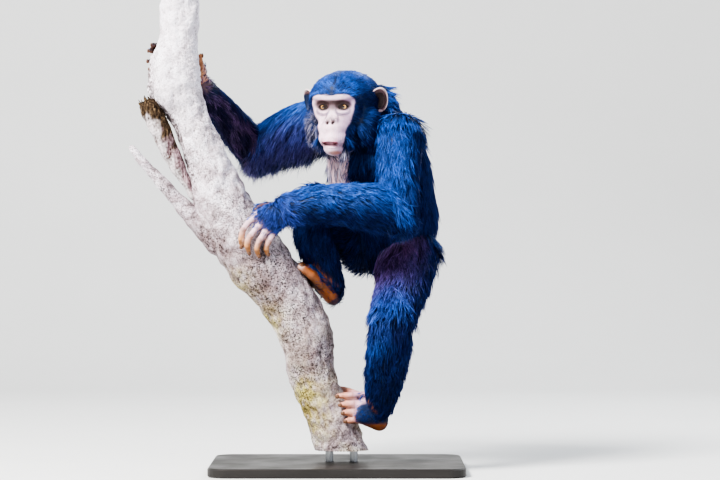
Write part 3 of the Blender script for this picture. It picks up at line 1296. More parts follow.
class Eyes:
    """Two eyeballs, each with a bulge over its iris."""

    BULGE = 0.055
    IRIS = 0.62

    def __init__(self, head: HeadForm) -> None:
        """Takes the head that the eyes sit in, and sets where they look."""
        self.head = head
        self.gaze = Vector((0.04, 1.0, 0.0)).normalized()

    def build(self, material: bpy.types.Material) -> list:
        """Each side with its eye, which has the angle from the gaze stored on it."""
        f = self.head.face
        made = []
        for side in Side:
            bm = bmesh.new()
            at = Vector((f.eye[0] * side.value, f.eye[1], f.eye[2]))
            bmesh.ops.create_icosphere(bm, subdivisions=5, radius=1.0)
            gaze = Vector((self.gaze.x * side.value, self.gaze.y, self.gaze.z)).normalized()
            angles = []
            for vertex in bm.verts:
                angle = vertex.co.normalized().angle(gaze)
                angles.append(angle)
                bulge = 1 + self.BULGE * max(0.0, 1 - (angle / self.IRIS) ** 2)
                vertex.co = self.head.matrix @ ((at + vertex.co.normalized() * f.eye_radius * bulge) * MM)
            obj = from_bmesh(f"eyeball_{side.word}", bm, material)
            set_values(obj.data, "Gaze", np.array(angles))
            made.append((side, obj))
        return made


class Nails:
    """Small curved plates on the fingers' and toes' backs."""

    def __init__(self, limbs: list, trunk: Trunk) -> None:
        """Takes the digits, and the perch that the nails face away from."""
        self.limbs = limbs
        self.trunk = trunk

    def build(self, material: bpy.types.Material) -> bpy.types.Object:
        """All nails as one object."""
        bm = bmesh.new()
        for limb in self.limbs:
            at, along, _, _, half, _ = limb.frames(np.array([NAIL_AT]))
            c, t, r = at[0], along[0], half[0]
            middle = self.trunk.frames(np.array([self.trunk.share(c[2])]))[0][0]
            out = c - middle
            out = unit(out - t * (out @ t))
            side = np.cross(t, out)
            columns = (side * r * 0.66, t * r * 0.72, out * r * 0.34, c + out * r * 0.66 + t * r * 0.22)
            matrix = Matrix([*([column[i] * MM for column in columns] for i in range(3)), [0, 0, 0, 1]])
            bmesh.ops.create_uvsphere(bm, u_segments=20, v_segments=12, radius=1.0, matrix=matrix)
        return from_bmesh("nails", bm, material)


@dataclass(frozen=True)
class Zone:
    """The coat over one limb; length and lift have values at the limb's start and end."""

    limb: str
    group: str
    lie: Lie
    length: tuple
    lift: tuple
    droop: float
    density: float
    width: float


ZONES = [
    Zone("torso", "torso", Lie.TOWARDS_START, (46, 54), (0.30, 0.18), 0.5, 1.0, 1.3),
    Zone("neck", "torso", Lie.TOWARDS_START, (44, 30), (0.15, 0.15), 0.5, 2.2, 1.2),
    Zone("upper_arm_left", "arm_left", Lie.TOWARDS_END, (50, 48), (0.16, 0.28), 0.25, 1.0, 1.2),
    Zone("upper_arm_right", "arm_right", Lie.TOWARDS_END, (52, 62), (0.28, 0.36), 0.75, 1.0, 1.4),
    Zone("forearm_left", "arm_left", Lie.TOWARDS_START, (46, 28), (0.38, 0.30), 0.25, 1.1, 1.3),
    Zone("forearm_right", "arm_right", Lie.TOWARDS_START, (48, 28), (0.38, 0.30), 0.3, 1.1, 1.3),
    Zone("thigh_left", "leg_left", Lie.TOWARDS_END, (46, 44), (0.34, 0.36), 0.2, 1.0, 1.4),
    Zone("thigh_right", "leg_right", Lie.TOWARDS_END, (44, 42), (0.34, 0.36), 0.3, 1.0, 1.4),
    Zone("shank_left", "leg_left", Lie.TOWARDS_END, (44, 22), (0.38, 0.28), 0.2, 1.1, 1.3),
    Zone("shank_right", "leg_right", Lie.TOWARDS_END, (42, 28), (0.36, 0.30), 0.3, 1.1, 1.3),
    Zone("hand_left", "arm_left", Lie.TOWARDS_END, (18, 10), (0.30, 0.22), 0.1, 2.2, 1.0),
    Zone("hand_right", "arm_right", Lie.TOWARDS_END, (18, 10), (0.30, 0.22), 0.1, 2.2, 1.0),
    Zone("foot_left", "leg_left", Lie.TOWARDS_END, (13, 9), (0.28, 0.2), 0.1, 1.5, 1.0),
    Zone("foot_right", "leg_right", Lie.TOWARDS_END, (20, 10), (0.28, 0.2), 0.1, 1.5, 1.0),
]
GROUPS = ["head", "torso", "arm_left", "arm_right", "leg_left", "leg_right"]

# Where hair ends towards each palm and sole: how squarely the skin faces its way where it starts to thin and
# where there is none, and how much it thins towards the digits
BACK_EDGES = {
    "hand_left": (0.4, 0.7, 0.1), "hand_right": (-0.2, 0.25, 0.2),
    "foot_left": (0.2, 0.5, 0.5), "foot_right": (-0.15, 0.15, 0.6),
}

# The map OFBake has 4 x 4 cells: one for each zone in turn, then the head's
MAP_SIDE = 4
HEAD_CELL = (2, 3)

# A tuft's three rings of three points, and its tip
TUFT_POINTS = 10


@dataclass(frozen=True)
class FurTones:
    """Colours of the coat: in shade and in the sun, then over single parts."""

    base: tuple = (0.008, 0.014, 0.085)
    bright: tuple = (0.085, 0.260, 0.880)
    forearm: tuple = (0.050, 0.024, 0.065)
    mauve: tuple = (0.320, 0.180, 0.380)
    violet: tuple = (0.170, 0.055, 0.140)
    upper_arm: tuple = (0.120, 0.100, 0.300)
    hand: tuple = (0.080, 0.130, 0.480)
    pale: tuple = (0.55, 0.50, 0.60)
    cheek: tuple = (0.495, 0.450, 0.540)
    few: tuple = (0.10, 0.18, 0.50)


@dataclass
class Lay:
    """How the coat lies at some places: one row or value for each."""

    way: np.ndarray
    length: np.ndarray
    lift: np.ndarray
    droop: np.ndarray
    density: np.ndarray
    width: np.ndarray
    tone: np.ndarray
    group: np.ndarray
    patch: np.ndarray


@dataclass(frozen=True)
class CoatSizes:
    """Counts and sizes shared by all tufts."""

    tufts: int = 88000
    per_piece: int = 12800
    rings: tuple = (0.0, 0.4, 0.75)
    widths: tuple = (0.8, 1.0, 0.7)
    flat: float = 0.42
    sink: float = 0.8
    clump: float = 0.42
    clump_every: int = 13
    clump_reach: float = 9
    patch: float = 0.003


class Coat:
    """The fur: tapering tufts along the body, in joined meshes."""

    def __init__(self, head: HeadForm, limbs: dict, digit_limbs: list) -> None:
        """Takes the forms that the coat grows on.

        Args:
            head: the head's form.
            limbs: name to Limb.
            digit_limbs: fingers and toes, which stay bare apart from the left thumb.
        """
        self.head = head
        self.limbs = limbs
        self.digits = digit_limbs
        self.sizes = CoatSizes()
        self.rng = np.random.default_rng(SEED)

    def lay(self, p: np.ndarray, n: np.ndarray) -> Lay:
        """The coat's lie at places p with normals n, in millimetres."""
        count = len(p)
        way, facts, total = np.zeros((count, 3)), np.zeros((count, 5)), np.full(count, 1e-9)
        best, group, patch = np.full(count, 1e9), np.zeros(count, int), np.zeros((count, 2))
        for index, zone in enumerate(ZONES):
            limb = self.limbs[zone.limb]
            d, share = limb_distance(limb, p, 25)
            weight = np.exp(-np.maximum(d, -30) / 9)
            at, along, wide, deep, _, _ = limb.frames(share)
            around = np.arctan2(((p - at) * deep).sum(1), ((p - at) * wide).sum(1)) / (2 * np.pi) + 0.5
            values = [np.interp(share, (0, 1), zone.length), np.interp(share, (0, 1), zone.lift),
                      np.full(count, zone.droop), np.full(count, zone.density), np.full(count, zone.width)]
            if zone.limb.startswith(("hand", "foot")):
                values[3] = values[3] * self._back(zone.limb, p, n, share)
            way += weight[:, None] * (along * zone.lie.value + DOWN * zone.droop)
            facts += weight[:, None] * np.stack(values, axis=1)
            total += weight
            nearer = d < best
            best[nearer] = d[nearer]
            group[nearer] = GROUPS.index(zone.group)
            cell = np.array([index % MAP_SIDE, index // MAP_SIDE])
            patch[nearer] = (cell + 0.05 + 0.9 * np.stack([around, share], axis=1)[nearer]) / MAP_SIDE
        local = self.head.local(p)
        x, y, z = local.T
        d = self.head.skull(local)
        weight = np.exp(-np.clip(d, -20, 60) / 6) * 1.6 * smoothstep(-100, -60, z + 0.4 * y + 0.3 * np.abs(x))
        low = 1 - smoothstep(-50, 5, z)
        flow = np.stack([np.sign(x) * (0.25 + 0.5 * low), -0.9 + 0.75 * low, -0.35 - 0.8 * low], axis=1)
        front = smoothstep(25, 60, y) * (1 - low)
        flow[:, 0] += 0.2 * front * np.sign(x)
        flow[:, 2] += 0.6 * front * smoothstep(35, 60, z)
        length = 17 + 16 * low + 9 * smoothstep(30, -60, y)
        length += 6 * smoothstep(40, 75, np.abs(x)) * (1 - smoothstep(20, 50, z))
        length *= 1 - 0.18 * smoothstep(35, 60, y) * smoothstep(-10, 15, z)
        beside = bell((np.abs(x) - 72) / 14, (y - 12) / 22, (z - 8) / 18)
        length += 12 * beside * (1 + (x > 0))
        flow[:, 0] += 1.1 * beside * np.sign(x)
        dense = 3.0 * (1 - self.head.bare(local) * (d < 20))
        lift, droop, width = 0.24 + 0.06 * smoothstep(0, 40, y), np.full(count, 0.1), np.full(count, 1.0)
        facts += weight[:, None] * np.stack([length, lift, droop, dense, width], axis=1)
        way += weight[:, None] * unit(flow) @ self.head.rotation.T
        total += weight
        mine = weight > 1.0
        group[mine] = 0
        angle = np.stack([np.arctan2(x, y) / (2 * np.pi) + 0.5, np.clip(z / 220 + 0.5, 0, 1)], axis=1)
        patch[mine] = (np.array(HEAD_CELL) + 0.05 + 0.9 * angle[mine]) / MAP_SIDE
        facts /= total[:, None]
        for limb in (limb for limb in self.digits if limb.name != "finger_left_thumb"):
            d, share = limb_distance(limb, p, 9)
            facts[:, 3] *= np.maximum(smoothstep(0.5, 4.0, d), 1 - smoothstep(0.05, 0.2, share))
        strip = throat(p, n)
        facts[:, 3] *= 1 - 0.88 * strip
        facts[:, 0] *= 1 - 0.45 * strip
        # Hair lies flatter at the model's far back, and on the top and back of the left shoulder
        facts[:, 1] *= 1 - 0.95 * smoothstep(212, 248, p[:, 1])
        flat = 0.6 * smoothstep(0.1, 0.7, n @ unit(np.array([0.7, 0.3, 0.6]))) * smoothstep(600, 660, p[:, 2])
        facts[:, 1] *= 1 - np.where(mine, 0, flat)
        wander = np.stack([waves(p, 60, k) for k in (11, 12, 13)], axis=1)
        way += 0.22 * wander * np.linalg.norm(way, axis=1)[:, None]
        way -= n * (way * n).sum(1)[:, None]
        return Lay(unit(way), *facts.T, self._tone(p, n, local, strip), group, patch)

    def _back(self, name: str, p: np.ndarray, n: np.ndarray, share: np.ndarray) -> np.ndarray:
        """1 on the hairy back of a hand or foot and 0 on its palm or sole."""
        facing = n @ unit(np.array(INWARDS[name], float))
        low, high, fade = BACK_EDGES[name]
        heel = 1.0 if name == "foot_left" else 0.0
        under = heel * smoothstep(-0.1, 0.2, -n[:, 2]) * smoothstep(114, 104, p[:, 2])
        return (1 - smoothstep(low, high, facing)) * (1 - fade * smoothstep(0.6, 1.0, share)) * (1 - under)

    def _tone(self, p: np.ndarray, n: np.ndarray, local: np.ndarray, strip: np.ndarray) -> np.ndarray:
        """The coat's colour at each place.

        Args:
            p: places in millimetres.
            n: the skin's normals there.
            local: the same places in the head's frame.
            strip: 1 on the throat.
        """
        tones = FurTones()
        paint = Paint(len(p), tones.base)
        sunny = smoothstep(0.15, 1.0, n @ unit(np.array([-0.25, -0.45, 0.85])))
        streak = smoothstep(-0.5, 0.9, waves(p * (1, 1, 0.45), 22, 21))
        paint.add(tones.bright, 0.05 * streak + 0.60 * sunny * (0.6 + 0.4 * streak))
        d, _ = limb_distance(self.limbs["forearm_right"], p)
        inner = (1 - smoothstep(0, 14, d)) * smoothstep(-0.2, 0.7, n @ unit(np.array([0.3, -0.8, -0.5])))
        paint.add(tones.forearm, 0.85 * inner)
        paint.add(tones.mauve, 0.8 * inner * smoothstep(-0.1, 0.6, waves(p, 40, 22)))
        d, share = limb_distance(self.limbs["thigh_left"], p)
        inner = (1 - smoothstep(0, 14, d)) * smoothstep(0.0, 0.8, n @ unit(np.array([-0.4, -0.9, 0.0])))
        paint.add(tones.violet, 0.9 * inner * (1 - smoothstep(0.5, 1.1, share)))
        d, _ = limb_distance(self.limbs["upper_arm_right"], p)
        facing = (1 - smoothstep(0, 14, d)) * smoothstep(0.1, 0.7, -n[:, 1]) * smoothstep(0.9, 0.2, n[:, 2])
        paint.add(tones.upper_arm, 0.6 * facing)
        d, _ = limb_distance(self.limbs["hand_left"], p)
        paint.add(tones.hand, 0.6 * (1 - smoothstep(4, 30, d)))
        # Pale hairs among the dark on the chin, right cheek and beard, and a few blue ones on the left cheek
        chosen = smoothstep(-0.25, -0.1, waves(p, 3.1, 23))
        chin = off_centre(local, (0, 74, -88), (28, 26, 13))
        paint.add(tones.pale, 0.9 * (1 - smoothstep(0.7, 1.25, chin)) * (0.3 + 0.7 * chosen))
        cheek = off_centre(local, (46, 44, -38), (30, 46, 60))
        paint.add(tones.cheek, 0.85 * (1 - smoothstep(0.4, 1.15, cheek)) * chosen)
        beard = off_centre(local, (-22, 76, -80), (14, 22, 20))
        paint.add(tones.pale, 0.9 * (1 - smoothstep(0.6, 1.2, beard)) * chosen)
        cheek = off_centre(local, (-50, 42, -34), (24, 42, 46))
        few = smoothstep(0.25, 0.4, waves(p, 3.1, 24))
        paint.add(tones.few, 0.8 * (1 - smoothstep(0.5, 1.2, cheek)) * few)
        paint.add(tones.pale, 0.9 * strip)
        return paint.colour

    def roots(self, skin: bpy.types.Mesh, ear_start: int) -> tuple:
        """Root places and normals in millimetres, spread by the coat's density.

        Args:
            skin: the skin's mesh.
            ear_start: its first vertex that is an ear's; ears grow no hair.
        """
        places = vertices_of(skin) / MM
        skin.calc_loop_triangles()
        corners = np.empty(len(skin.loop_triangles) * 3, np.int32)
        skin.loop_triangles.foreach_get("vertices", corners)
        corners = corners.reshape(-1, 3)
        corners = corners[(corners < ear_start).all(axis=1)]
        a, b, c = (places[corners[:, k]] for k in range(3))
        cross = np.cross(b - a, c - a)
        area = np.linalg.norm(cross, axis=1) / 2
        middle, normal = (a + b + c) / 3, unit(cross)
        coarse = self.lay(middle, normal)
        weight = area * coarse.density
        chosen = self.rng.choice(len(area), self.sizes.tufts, p=weight / weight.sum())
        u, v = np.sqrt(self.rng.random(len(chosen))), self.rng.random(len(chosen))
        p = a[chosen] * (1 - u)[:, None] + b[chosen] * (u * (1 - v))[:, None] + c[chosen] * (u * v)[:, None]
        return p, normal[chosen]

    def build(self, skin: bpy.types.Object, ear_start: int, material: bpy.types.Material) -> list:
        """All coat pieces.

        Args:
            skin: the skin's object.
            ear_start: its first vertex that is an ear's.
            material: the fur.
        """
        p, n = self.roots(skin.data, ear_start)
        lay = self.lay(p, n)
        count = len(p)
        rng = self.rng
        side = np.cross(n, lay.way)
        swing = rng.normal(0, 0.16, count) + 0.28 * waves(p, 26, 31) + 0.15 * waves(p, 9, 32)
        way = unit(lay.way * np.cos(swing)[:, None] + side * np.sin(swing)[:, None])
        side = np.cross(n, way)
        length = lay.length * rng.uniform(0.72, 1.14, count) * (1 + 0.14 * waves(p, 20, 33))
        lift = lay.lift * rng.uniform(0.65, 1.2, count) * (1 + 0.22 * waves(p, 28, 34))
        curl = rng.normal(0, 0.10, count) + 0.12 * waves(p, 40, 35)
        steps = np.array([*self.sizes.rings, 1.0])
        path = np.zeros((count, 4, 3))
        for k, t in enumerate(steps):
            rise = lift * (t - 0.42 * t * t)
            path[:, k] = p - n * self.sizes.sink + length[:, None] * (
                way * (t - 0.1 * t * t) + n * rise[:, None] + side * (curl * t * t)[:, None]
                + DOWN * (lay.droop * 0.32 * t * t)[:, None]
            )
        path = self._clumped(path, p, steps)
        pieces = []
        for index, group in enumerate(GROUPS):
            rows = np.flatnonzero(lay.group == index)
            rows = rows[np.argsort(p[rows, 2], kind="stable")]
            parts = max(1, math.ceil(len(rows) / self.sizes.per_piece))
            for part, chosen in enumerate(np.array_split(rows, parts)):
                name = f"coat_{group}_{part + 1}"
                pieces.append(self._mesh(name, path[chosen], n[chosen], lay, chosen, material))
        return pieces

    def _clumped(self, path: np.ndarray, roots: np.ndarray, steps: np.ndarray) -> np.ndarray:
        """Draws the tips of neighbouring tufts together."""
        guides = np.arange(0, len(roots), self.sizes.clump_every)
        tree = kdtree.KDTree(len(guides))
        for index, row in enumerate(guides):
            tree.insert(roots[row], index)
        tree.balance()
        nearest = guides[[tree.find(root)[1] for root in roots]]
        pull = self.sizes.clump * self.rng.uniform(0.5, 1.2, len(roots))[:, None, None]
        share = pull * (steps**1.6)[None, :, None]
        offset = path[nearest] - path
        # A tuft keeps its own length: only the sideways part of the offset moves it
        along = unit(path[:, -1] - path[:, 0])[:, None, :]
        offset -= along * (offset * along).sum(2, keepdims=True) * 0.7
        reach = np.linalg.norm(offset, axis=2, keepdims=True)
        offset *= np.minimum(1, self.sizes.clump_reach / np.maximum(reach, 1e-6))
        return path + offset * share

    def _mesh(
        self, name: str, path: np.ndarray, normals: np.ndarray, lay: Lay, rows: np.ndarray,
        material: bpy.types.Material,
    ) -> bpy.types.Object:
        """One piece of the coat: three-sided tufts, each with three rings and a tip.

        Args:
            name: the piece's name.
            path: the tufts' middle lines, in millimetres.
            normals: the skin's normals at their roots.
            lay: the whole coat's lie.
            rows: the tufts' rows in it.
            material: the fur.
        """
        s = self.sizes
        count = len(path)
        along = unit(path[:, 1:] - path[:, :-1])
        width = lay.width[rows] * self.rng.uniform(0.7, 1.25, count)
        angles = np.array([0.5, 0.5 + 2 / 3, 0.5 + 4 / 3]) * np.pi
        points = np.zeros((count, TUFT_POINTS, 3))
        for k in range(3):
            across = unit(np.cross(along[:, k], normals))
            up = np.cross(across, along[:, k])
            half = (width * s.widths[k] * 0.5)[:, None]
            for j, angle in enumerate(angles):
                points[:, 3 * k + j] = path[:, k] + half * 1.15 * (
                    across * math.cos(angle) + up * math.sin(angle) * s.flat * 2
                )
        points[:, -1] = path[:, -1]
        quads = np.array([[3 * k + j, 3 * k + (j + 1) % 3, 3 * k + 3 + (j + 1) % 3, 3 * k + 3 + j]
                          for k in range(2) for j in range(3)])
        tips = np.array([[6 + j, 6 + (j + 1) % 3, 9] for j in range(3)])
        base = (np.arange(count) * TUFT_POINTS)[:, None]
        loops = (np.concatenate([quads.ravel(), tips.ravel()])[None, :] + base).ravel()
        sizes = np.tile(np.array([4] * len(quads) + [3] * len(tips)), count)
        mesh = bpy.data.meshes.new(name)
        mesh.vertices.add(count * TUFT_POINTS)
        mesh.vertices.foreach_set("co", (points * MM).astype(np.float32).ravel())
        mesh.loops.add(len(loops))
        mesh.loops.foreach_set("vertex_index", loops.astype(np.int32))
        mesh.polygons.add(len(sizes))
        starts = np.concatenate([[0], np.cumsum(sizes)[:-1]])
        mesh.polygons.foreach_set("loop_start", starts.astype(np.int32))
        mesh.update(calc_edges=True)
        mesh.validate()
        level = np.array([*np.repeat(s.rings, 3), 1.0])
        cross = np.array([0.0, 0.5, 1.0] * 3 + [0.5])
        uv = np.zeros((count, TUFT_POINTS, 2))
        uv[:, :, 0] = lay.patch[rows, 0][:, None] + s.patch * cross
        uv[:, :, 1] = lay.patch[rows, 1][:, None] + s.patch * level
        layer = mesh.uv_layers.new(name="OFBake")
        layer.data.foreach_set("uv", uv.reshape(-1, 2)[loops].astype(np.float32).ravel())
        tone = lay.tone[rows] * self.rng.uniform(0.5, 1.6, count)[:, None]
        shade = 0.35 + 0.65 * level + 0.55 * level**3
        set_colours(mesh, "Coat", (tone[:, None, :] * shade[None, :, None]).reshape(-1, 3))
        return make_object(name, mesh, material)


# The perch


@dataclass(frozen=True)
class BarkSizes:
    """How fine and rough the bark is."""

    sides: int = 160
    steps: int = 500
    knob: float = 3.2
    plate: float = 1.0
    fissure: float = 0.8
    branch_relief: float = 0.45
    stump_relief: float = 0.6
    splinters: int = 54


# The long scar on the trunk: the way it faces, the height of its middle and half its length
SCAR_FACES = 3.35
SCAR_LEVEL = 770
SCAR_HALF = 150

# Middles and radii of the bark's dark stains and of its olive lichen, as x, z and radius
STAINS = [(-292, 525, 30), (-262, 480, 34), (-170, 440, 36), (-146, 388, 34), (-60, 250, 30)]
LICHENS = [(-222, 392, 44), (-52, 118, 46), (-78, 170, 34), (-150, 330, 30)]


class Perch:
    """The cut length of trunk with its dead branch and broken stump."""

    def __init__(self, trunk: Trunk) -> None:
        """Takes the trunk's middle line and sizes."""
        self.trunk = trunk
        self.sizes = BarkSizes()

    def _roughened(self, obj: bpy.types.Object, limb: Limb, share: float, keep: float) -> None:
        """Moves the bark in and out, and stores where it is cut, hollow, stained and so on.

        Args:
            obj: the limb's object.
            limb: the form.
            share: how much of the bark's relief it gets.
            keep: the height below which nothing moves, in millimetres.
        """
        s = self.sizes
        places = vertices_of(obj.data) / MM
        shares = np.linspace(0, 1, 240)
        at, along, _, _, wide, _ = limb.frames(shares)
        nearest = np.interp(places[:, 2], at[:, 2], np.arange(len(at))).round().astype(int)
        out = places - at[nearest]
        out = unit(out - along[nearest] * (out * along[nearest]).sum(1)[:, None])
        around = np.arctan2(out[:, 1], out[:, 0])
        stretched = places * (1, 1, 0.35)
        knobs = s.knob * waves(places, 95, 41, 12) * 0.8 + s.knob * 0.5 * waves(places, 42, 42, 12)
        plates = s.plate * waves(stretched, 22, 43, 14)
        line = waves(stretched, 30, 44, 12)
        cracks = -s.fissure * bell(line / 0.10) * smoothstep(-0.2, 0.5, waves(places, 60, 45))
        rings = 0.7 * np.sin(places[:, 2] * 0.33 + 2.2 * waves(places, 70, 46))
        rings *= smoothstep(0.0, 0.8, waves(places, 110, 47))
        grain = 0.6 * waves(places, 7, 48, 14)
        far = np.abs(places[:, 2] - SCAR_LEVEL) / SCAR_HALF
        scar = smoothstep(0.72, 0.95, np.cos(around - SCAR_FACES)) * (1 - smoothstep(0.75, 1.0, far))
        scar *= 1.0 if limb is self.trunk else 0.0
        gouge = scar * (-7 + 3.5 * waves(places * (1, 1, 0.3), 16, 49, 14))
        relief = np.minimum(knobs + plates, 4.0) + cracks + rings + grain
        move = relief * (1 - scar) * share + gouge - 1.5 * share
        move *= smoothstep(keep, keep + 14, places[:, 2])
        moved = places + out * move[:, None]
        level = np.minimum(places[:, 2] - at[0, 2], at[-1, 2] - places[:, 2])
        inside = np.linalg.norm(places - at[nearest], axis=1) < 0.95 * wide[nearest]
        cut = inside & (np.abs(level) < 12) & (limb is self.trunk)
        if limb is self.trunk:
            moved[cut] = places[cut]
            # What lies past a cut goes straight up or down to it, a little drawn in
            past = np.clip(moved[:, 2], PERCH_FOOT, PERCH_TOP) - moved[:, 2]
            slant = along[nearest][:, :2] / along[nearest][:, 2:]
            moved[:, :2] += slant * past[:, None] * 0.9
            moved[:, 2] = np.clip(moved[:, 2], PERCH_FOOT, PERCH_TOP)
        set_vertices(obj.data, moved * MM)
        set_values(obj.data, "Cut", cut.astype(float))
        shell = 1 - smoothstep(-0.35, 0.15, out[:, 0] + 0.25 * waves(places, 30, 51))
        shell *= 1 - smoothstep(772, 796, places[:, 2] + 8 * waves(places, 14, 52))
        set_values(obj.data, "Shell", shell)
        hollow = 0.5 + (plates * 0.12 + cracks * 0.22 + grain * 0.25)
        hollow -= 0.55 * scar * (0.5 + 0.5 * waves(places, 12, 50))
        set_values(obj.data, "Hollow", np.clip(hollow, 0, 1))
        set_values(obj.data, "Height", np.clip(places[:, 2] / PERCH_TOP, 0, 1))
        front = smoothstep(0.5, -0.3, out[:, 1])
        for name, spots in (("Stain", STAINS), ("Lichen", LICHENS)):
            mark = np.zeros(len(places))
            for x, z, radius in spots:
                mark += np.exp(-((places[:, 0] - x) ** 2 + ((places[:, 2] - z) * 0.8) ** 2) / radius**2)
            set_values(obj.data, name, np.clip(mark * (0.8 + 0.5 * waves(places, 24, 53)), 0, 1) * front)

    def build(self, bark: bpy.types.Material, dead: bpy.types.Material) -> dict:
        """The three wooden pieces, by the name of the node that each replaces."""
        s = self.sizes
        branch, snag = Limb(BRANCH, (0, 1, 0), "branch"), Limb(SNAG, (0, 1, 0), "snag")
        made = {}
        bm = bmesh.new()
        add_loft(bm, self.trunk, s.sides, s.steps, flat=True)
        made["perch_trunk"] = from_bmesh("bark_trunk", bm, bark)
        self._roughened(made["perch_trunk"], self.trunk, 1.0, PERCH_FOOT + 6)
        bm = bmesh.new()
        add_loft(bm, branch, s.sides // 3, s.steps // 2)
        made["perch_branch"] = from_bmesh("bark_branch", bm, bark)
        self._roughened(made["perch_branch"], branch, s.branch_relief, 0)
        bm = bmesh.new()
        add_loft(bm, snag, s.sides // 2, s.steps // 3)
        self._add_splinters(bm, snag)
        made["perch_snag"] = from_bmesh("dead_stump", bm, dead)
        self._roughened(made["perch_snag"], snag, s.stump_relief, 0)
        return made

    def _add_splinters(self, bm: bmesh.types.BMesh, snag: Limb) -> None:
        """Adds splinters over the stump's broken end, in a widening spiral."""
        at, along, wide, deep, _, _ = snag.frames(np.array([1.0]))
        at, along, wide, deep = at[0], along[0], wide[0], deep[0]
        rng = np.random.default_rng(SEED + 5)
        for k in range(self.sizes.splinters):
            angle, reach = k * 2.4, 25 * (0.45 + 0.55 * k / self.sizes.splinters)
            start = at + wide * math.cos(angle) * reach + deep * math.sin(angle) * reach * 0.85 - along * 16
            lean = unit(along + rng.normal(0, 0.10, 3))
            tall = rng.uniform(16, 46)
            thick = rng.uniform(2.5, 6.5)
            points = [start, start + lean * tall * 0.6, start + lean * tall]
            rows = [[*q, thick * f, thick * f * 0.5] for q, f in zip(points, (1, 0.8, 0.25))]
            add_loft(bm, Limb(rows, (math.sin(angle), math.cos(angle), 0)), 7, 4)


# The scene


@dataclass(frozen=True)
class Lamp:
    """A square area light: its place and side in metres, its power in watts."""

    name: str
    at: tuple
    size: float
    power: float
    colour: tuple


LAMPS = [
    Lamp("key", (-2.6, -2.6, 3.9), 1.5, 560, (1.0, 0.98, 0.95)),
    Lamp("fill", (3.2, -2.6, 1.6), 2.4, 40, (0.86, 0.88, 1.0)),
    Lamp("back", (1.6, 2.4, 2.8), 1.4, 60, (0.9, 0.95, 1.0)),
]


@dataclass(frozen=True)
class Studio:
    """Camera, floor and room, in metres."""

    camera: tuple = (0.05, -6.0, 0.512)
    look: tuple = (0.05, 0.0, 0.512)
    field: float = 1.60
    sensor: float = 36
    reach: float = 60
    floor: float = 14.0
    wall: float = 3.2
    rounded: float = 1.6
    lit: tuple = (0, 0, 0.55)
    room: tuple = (0.86, 0.90, 0.95, 1)
    room_strength: float = 0.58


class Stage:
    """The floor, the lights and the camera."""

    def __init__(self, material: bpy.types.Material) -> None:
        """Takes the floor's material."""
        self.material = material
        self.sizes = Studio()

    def build(self) -> None:
        """Adds everything that isn't part of the object."""
        self._floor()
        for lamp in LAMPS:
            self._light(lamp)
        s = self.sizes
        world = bpy.data.worlds.new("room")
        world.use_nodes = True
        world.node_tree.nodes["Background"].inputs["Color"].default_value = s.room
        world.node_tree.nodes["Background"].inputs["Strength"].default_value = s.room_strength
        bpy.context.scene.world = world
        data = bpy.data.cameras.new("camera")
        camera = bpy.data.objects.new("camera", data)
        bpy.context.scene.collection.objects.link(camera)
        camera.location = s.camera
        way = Vector(s.look) - Vector(s.camera)
        camera.rotation_euler = way.to_track_quat("-Z", "Y").to_euler()
        data.sensor_width = s.sensor
        data.lens = s.sensor * way.length / s.field
        data.clip_end = s.reach
        bpy.context.scene.camera = camera
        bpy.context.scene.view_settings.view_transform = "AgX"
        bpy.context.scene.view_settings.look = "AgX - High Contrast"

    def _floor(self) -> None:
        """Adds a floor that curves up into a wall at the back."""
        s = self.sizes
        bm = bmesh.new()
        profile = [(-s.floor / 2, 0.0), (s.wall, 0.0)]
        profile += [(s.wall + s.rounded * math.sin(a), s.rounded * (1 - math.cos(a)))
                    for a in np.linspace(0.12, 1.57, 12)]
        profile.append((s.wall + s.rounded, s.floor / 2))
        rows = [[bm.verts.new((x, y, z)) for x in (-s.floor / 2, s.floor / 2)] for y, z in profile]
        for a, b in zip(rows, rows[1:]):
            bm.faces.new((a[0], a[1], b[1], b[0]))
        from_bmesh("floor", bm, self.material)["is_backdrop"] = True

    def _light(self, lamp: Lamp) -> None:
        """Adds one lamp, facing the object's middle."""
        data = bpy.data.lights.new(lamp.name, "AREA")
        data.size = lamp.size
        data.energy = lamp.power
        data.color = lamp.colour
        obj = bpy.data.objects.new(lamp.name, data)
        obj.location = lamp.at
        obj.rotation_euler = (Vector(self.sizes.lit) - Vector(lamp.at)).to_track_quat("-Z", "Y").to_euler()
        bpy.context.scene.collection.objects.link(obj)


def corners() -> list:
    """The shown object's lowest and highest corner as plain lists."""
    return [[float(v) for v in corner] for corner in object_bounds()]


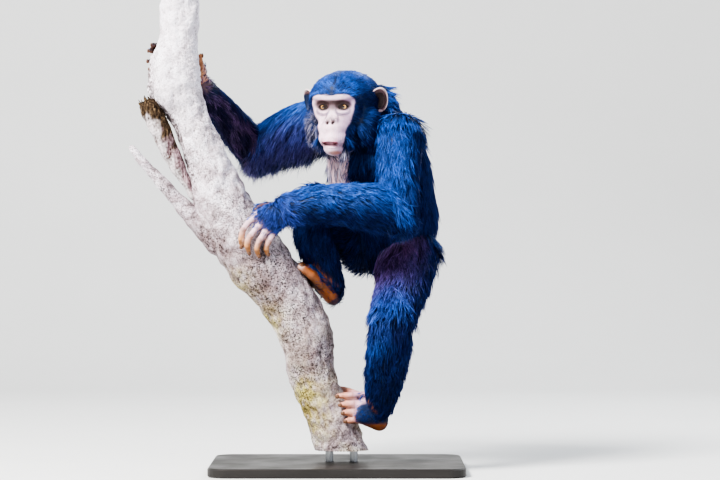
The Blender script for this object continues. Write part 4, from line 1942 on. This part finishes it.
def body_limbs() -> dict:
    """Every limb of the body but the digits, by name."""
    up, right = (0, 0, 1), (1, 0, 0)
    forms = {
        "torso": (TORSO, BODY_LEFT), "neck": (NECK, BODY_LEFT),
        "upper_arm_left": (UPPER_ARM_LEFT, up), "upper_arm_right": (UPPER_ARM_RIGHT, up),
        "forearm_left": (FOREARM_LEFT, up), "forearm_right": (FOREARM_RIGHT, up),
        "thigh_left": (THIGH_LEFT, right), "thigh_right": (THIGH_RIGHT, right),
        "shank_left": (SHANK_LEFT, right), "shank_right": (SHANK_RIGHT, right),
        "hand_left": (PALM_LEFT, PALM_LEFT_ACROSS), "hand_right": (PALM_RIGHT, PALM_RIGHT_ACROSS),
        "foot_left": (FOOT_LEFT, FOOT_LEFT_ACROSS), "foot_right": (FOOT_RIGHT, FOOT_RIGHT_ACROSS),
    }
    return {name: Limb(stations, across, name) for name, (stations, across) in forms.items()}


def main() -> None:
    """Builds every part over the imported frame."""
    logging.basicConfig(level=logging.INFO)
    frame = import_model()
    palette = Palette()
    trunk, head = Trunk(), HeadForm()
    digit_limbs, limbs = digits(trunk), body_limbs()
    own = ("stand_", "perch_", "eye_")
    flesh_nodes = [name for name in frame["nodes"] if not name.startswith(own)]
    flesh = Flesh(head, limbs, digit_limbs)
    skin = flesh.build(palette.skin)
    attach(skin, BODY)
    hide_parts(*flesh_nodes)
    for side, eye in Eyes(head).build(palette.eye):
        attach(eye, BODY)
        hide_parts(f"eye_{side.word}")
    nails = Nails(digit_limbs, trunk).build(palette.nail)
    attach(nails, BODY)
    for piece in Coat(head, limbs, digit_limbs).build(skin, flesh.ear_start, palette.fur):
        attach(piece, BODY)
    for node, piece in Perch(trunk).build(palette.bark, palette.dead).items():
        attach(piece, BODY)
        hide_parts(node)
    stand = {"stand_base": palette.paint, "stand_rod_a": palette.steel, "stand_rod_b": palette.steel}
    for name, material in stand.items():
        for slot in frame["nodes"][name].material_slots:
            slot.material = material
    Stage(palette.floor).build()


if __name__ == "__main__":
    main()
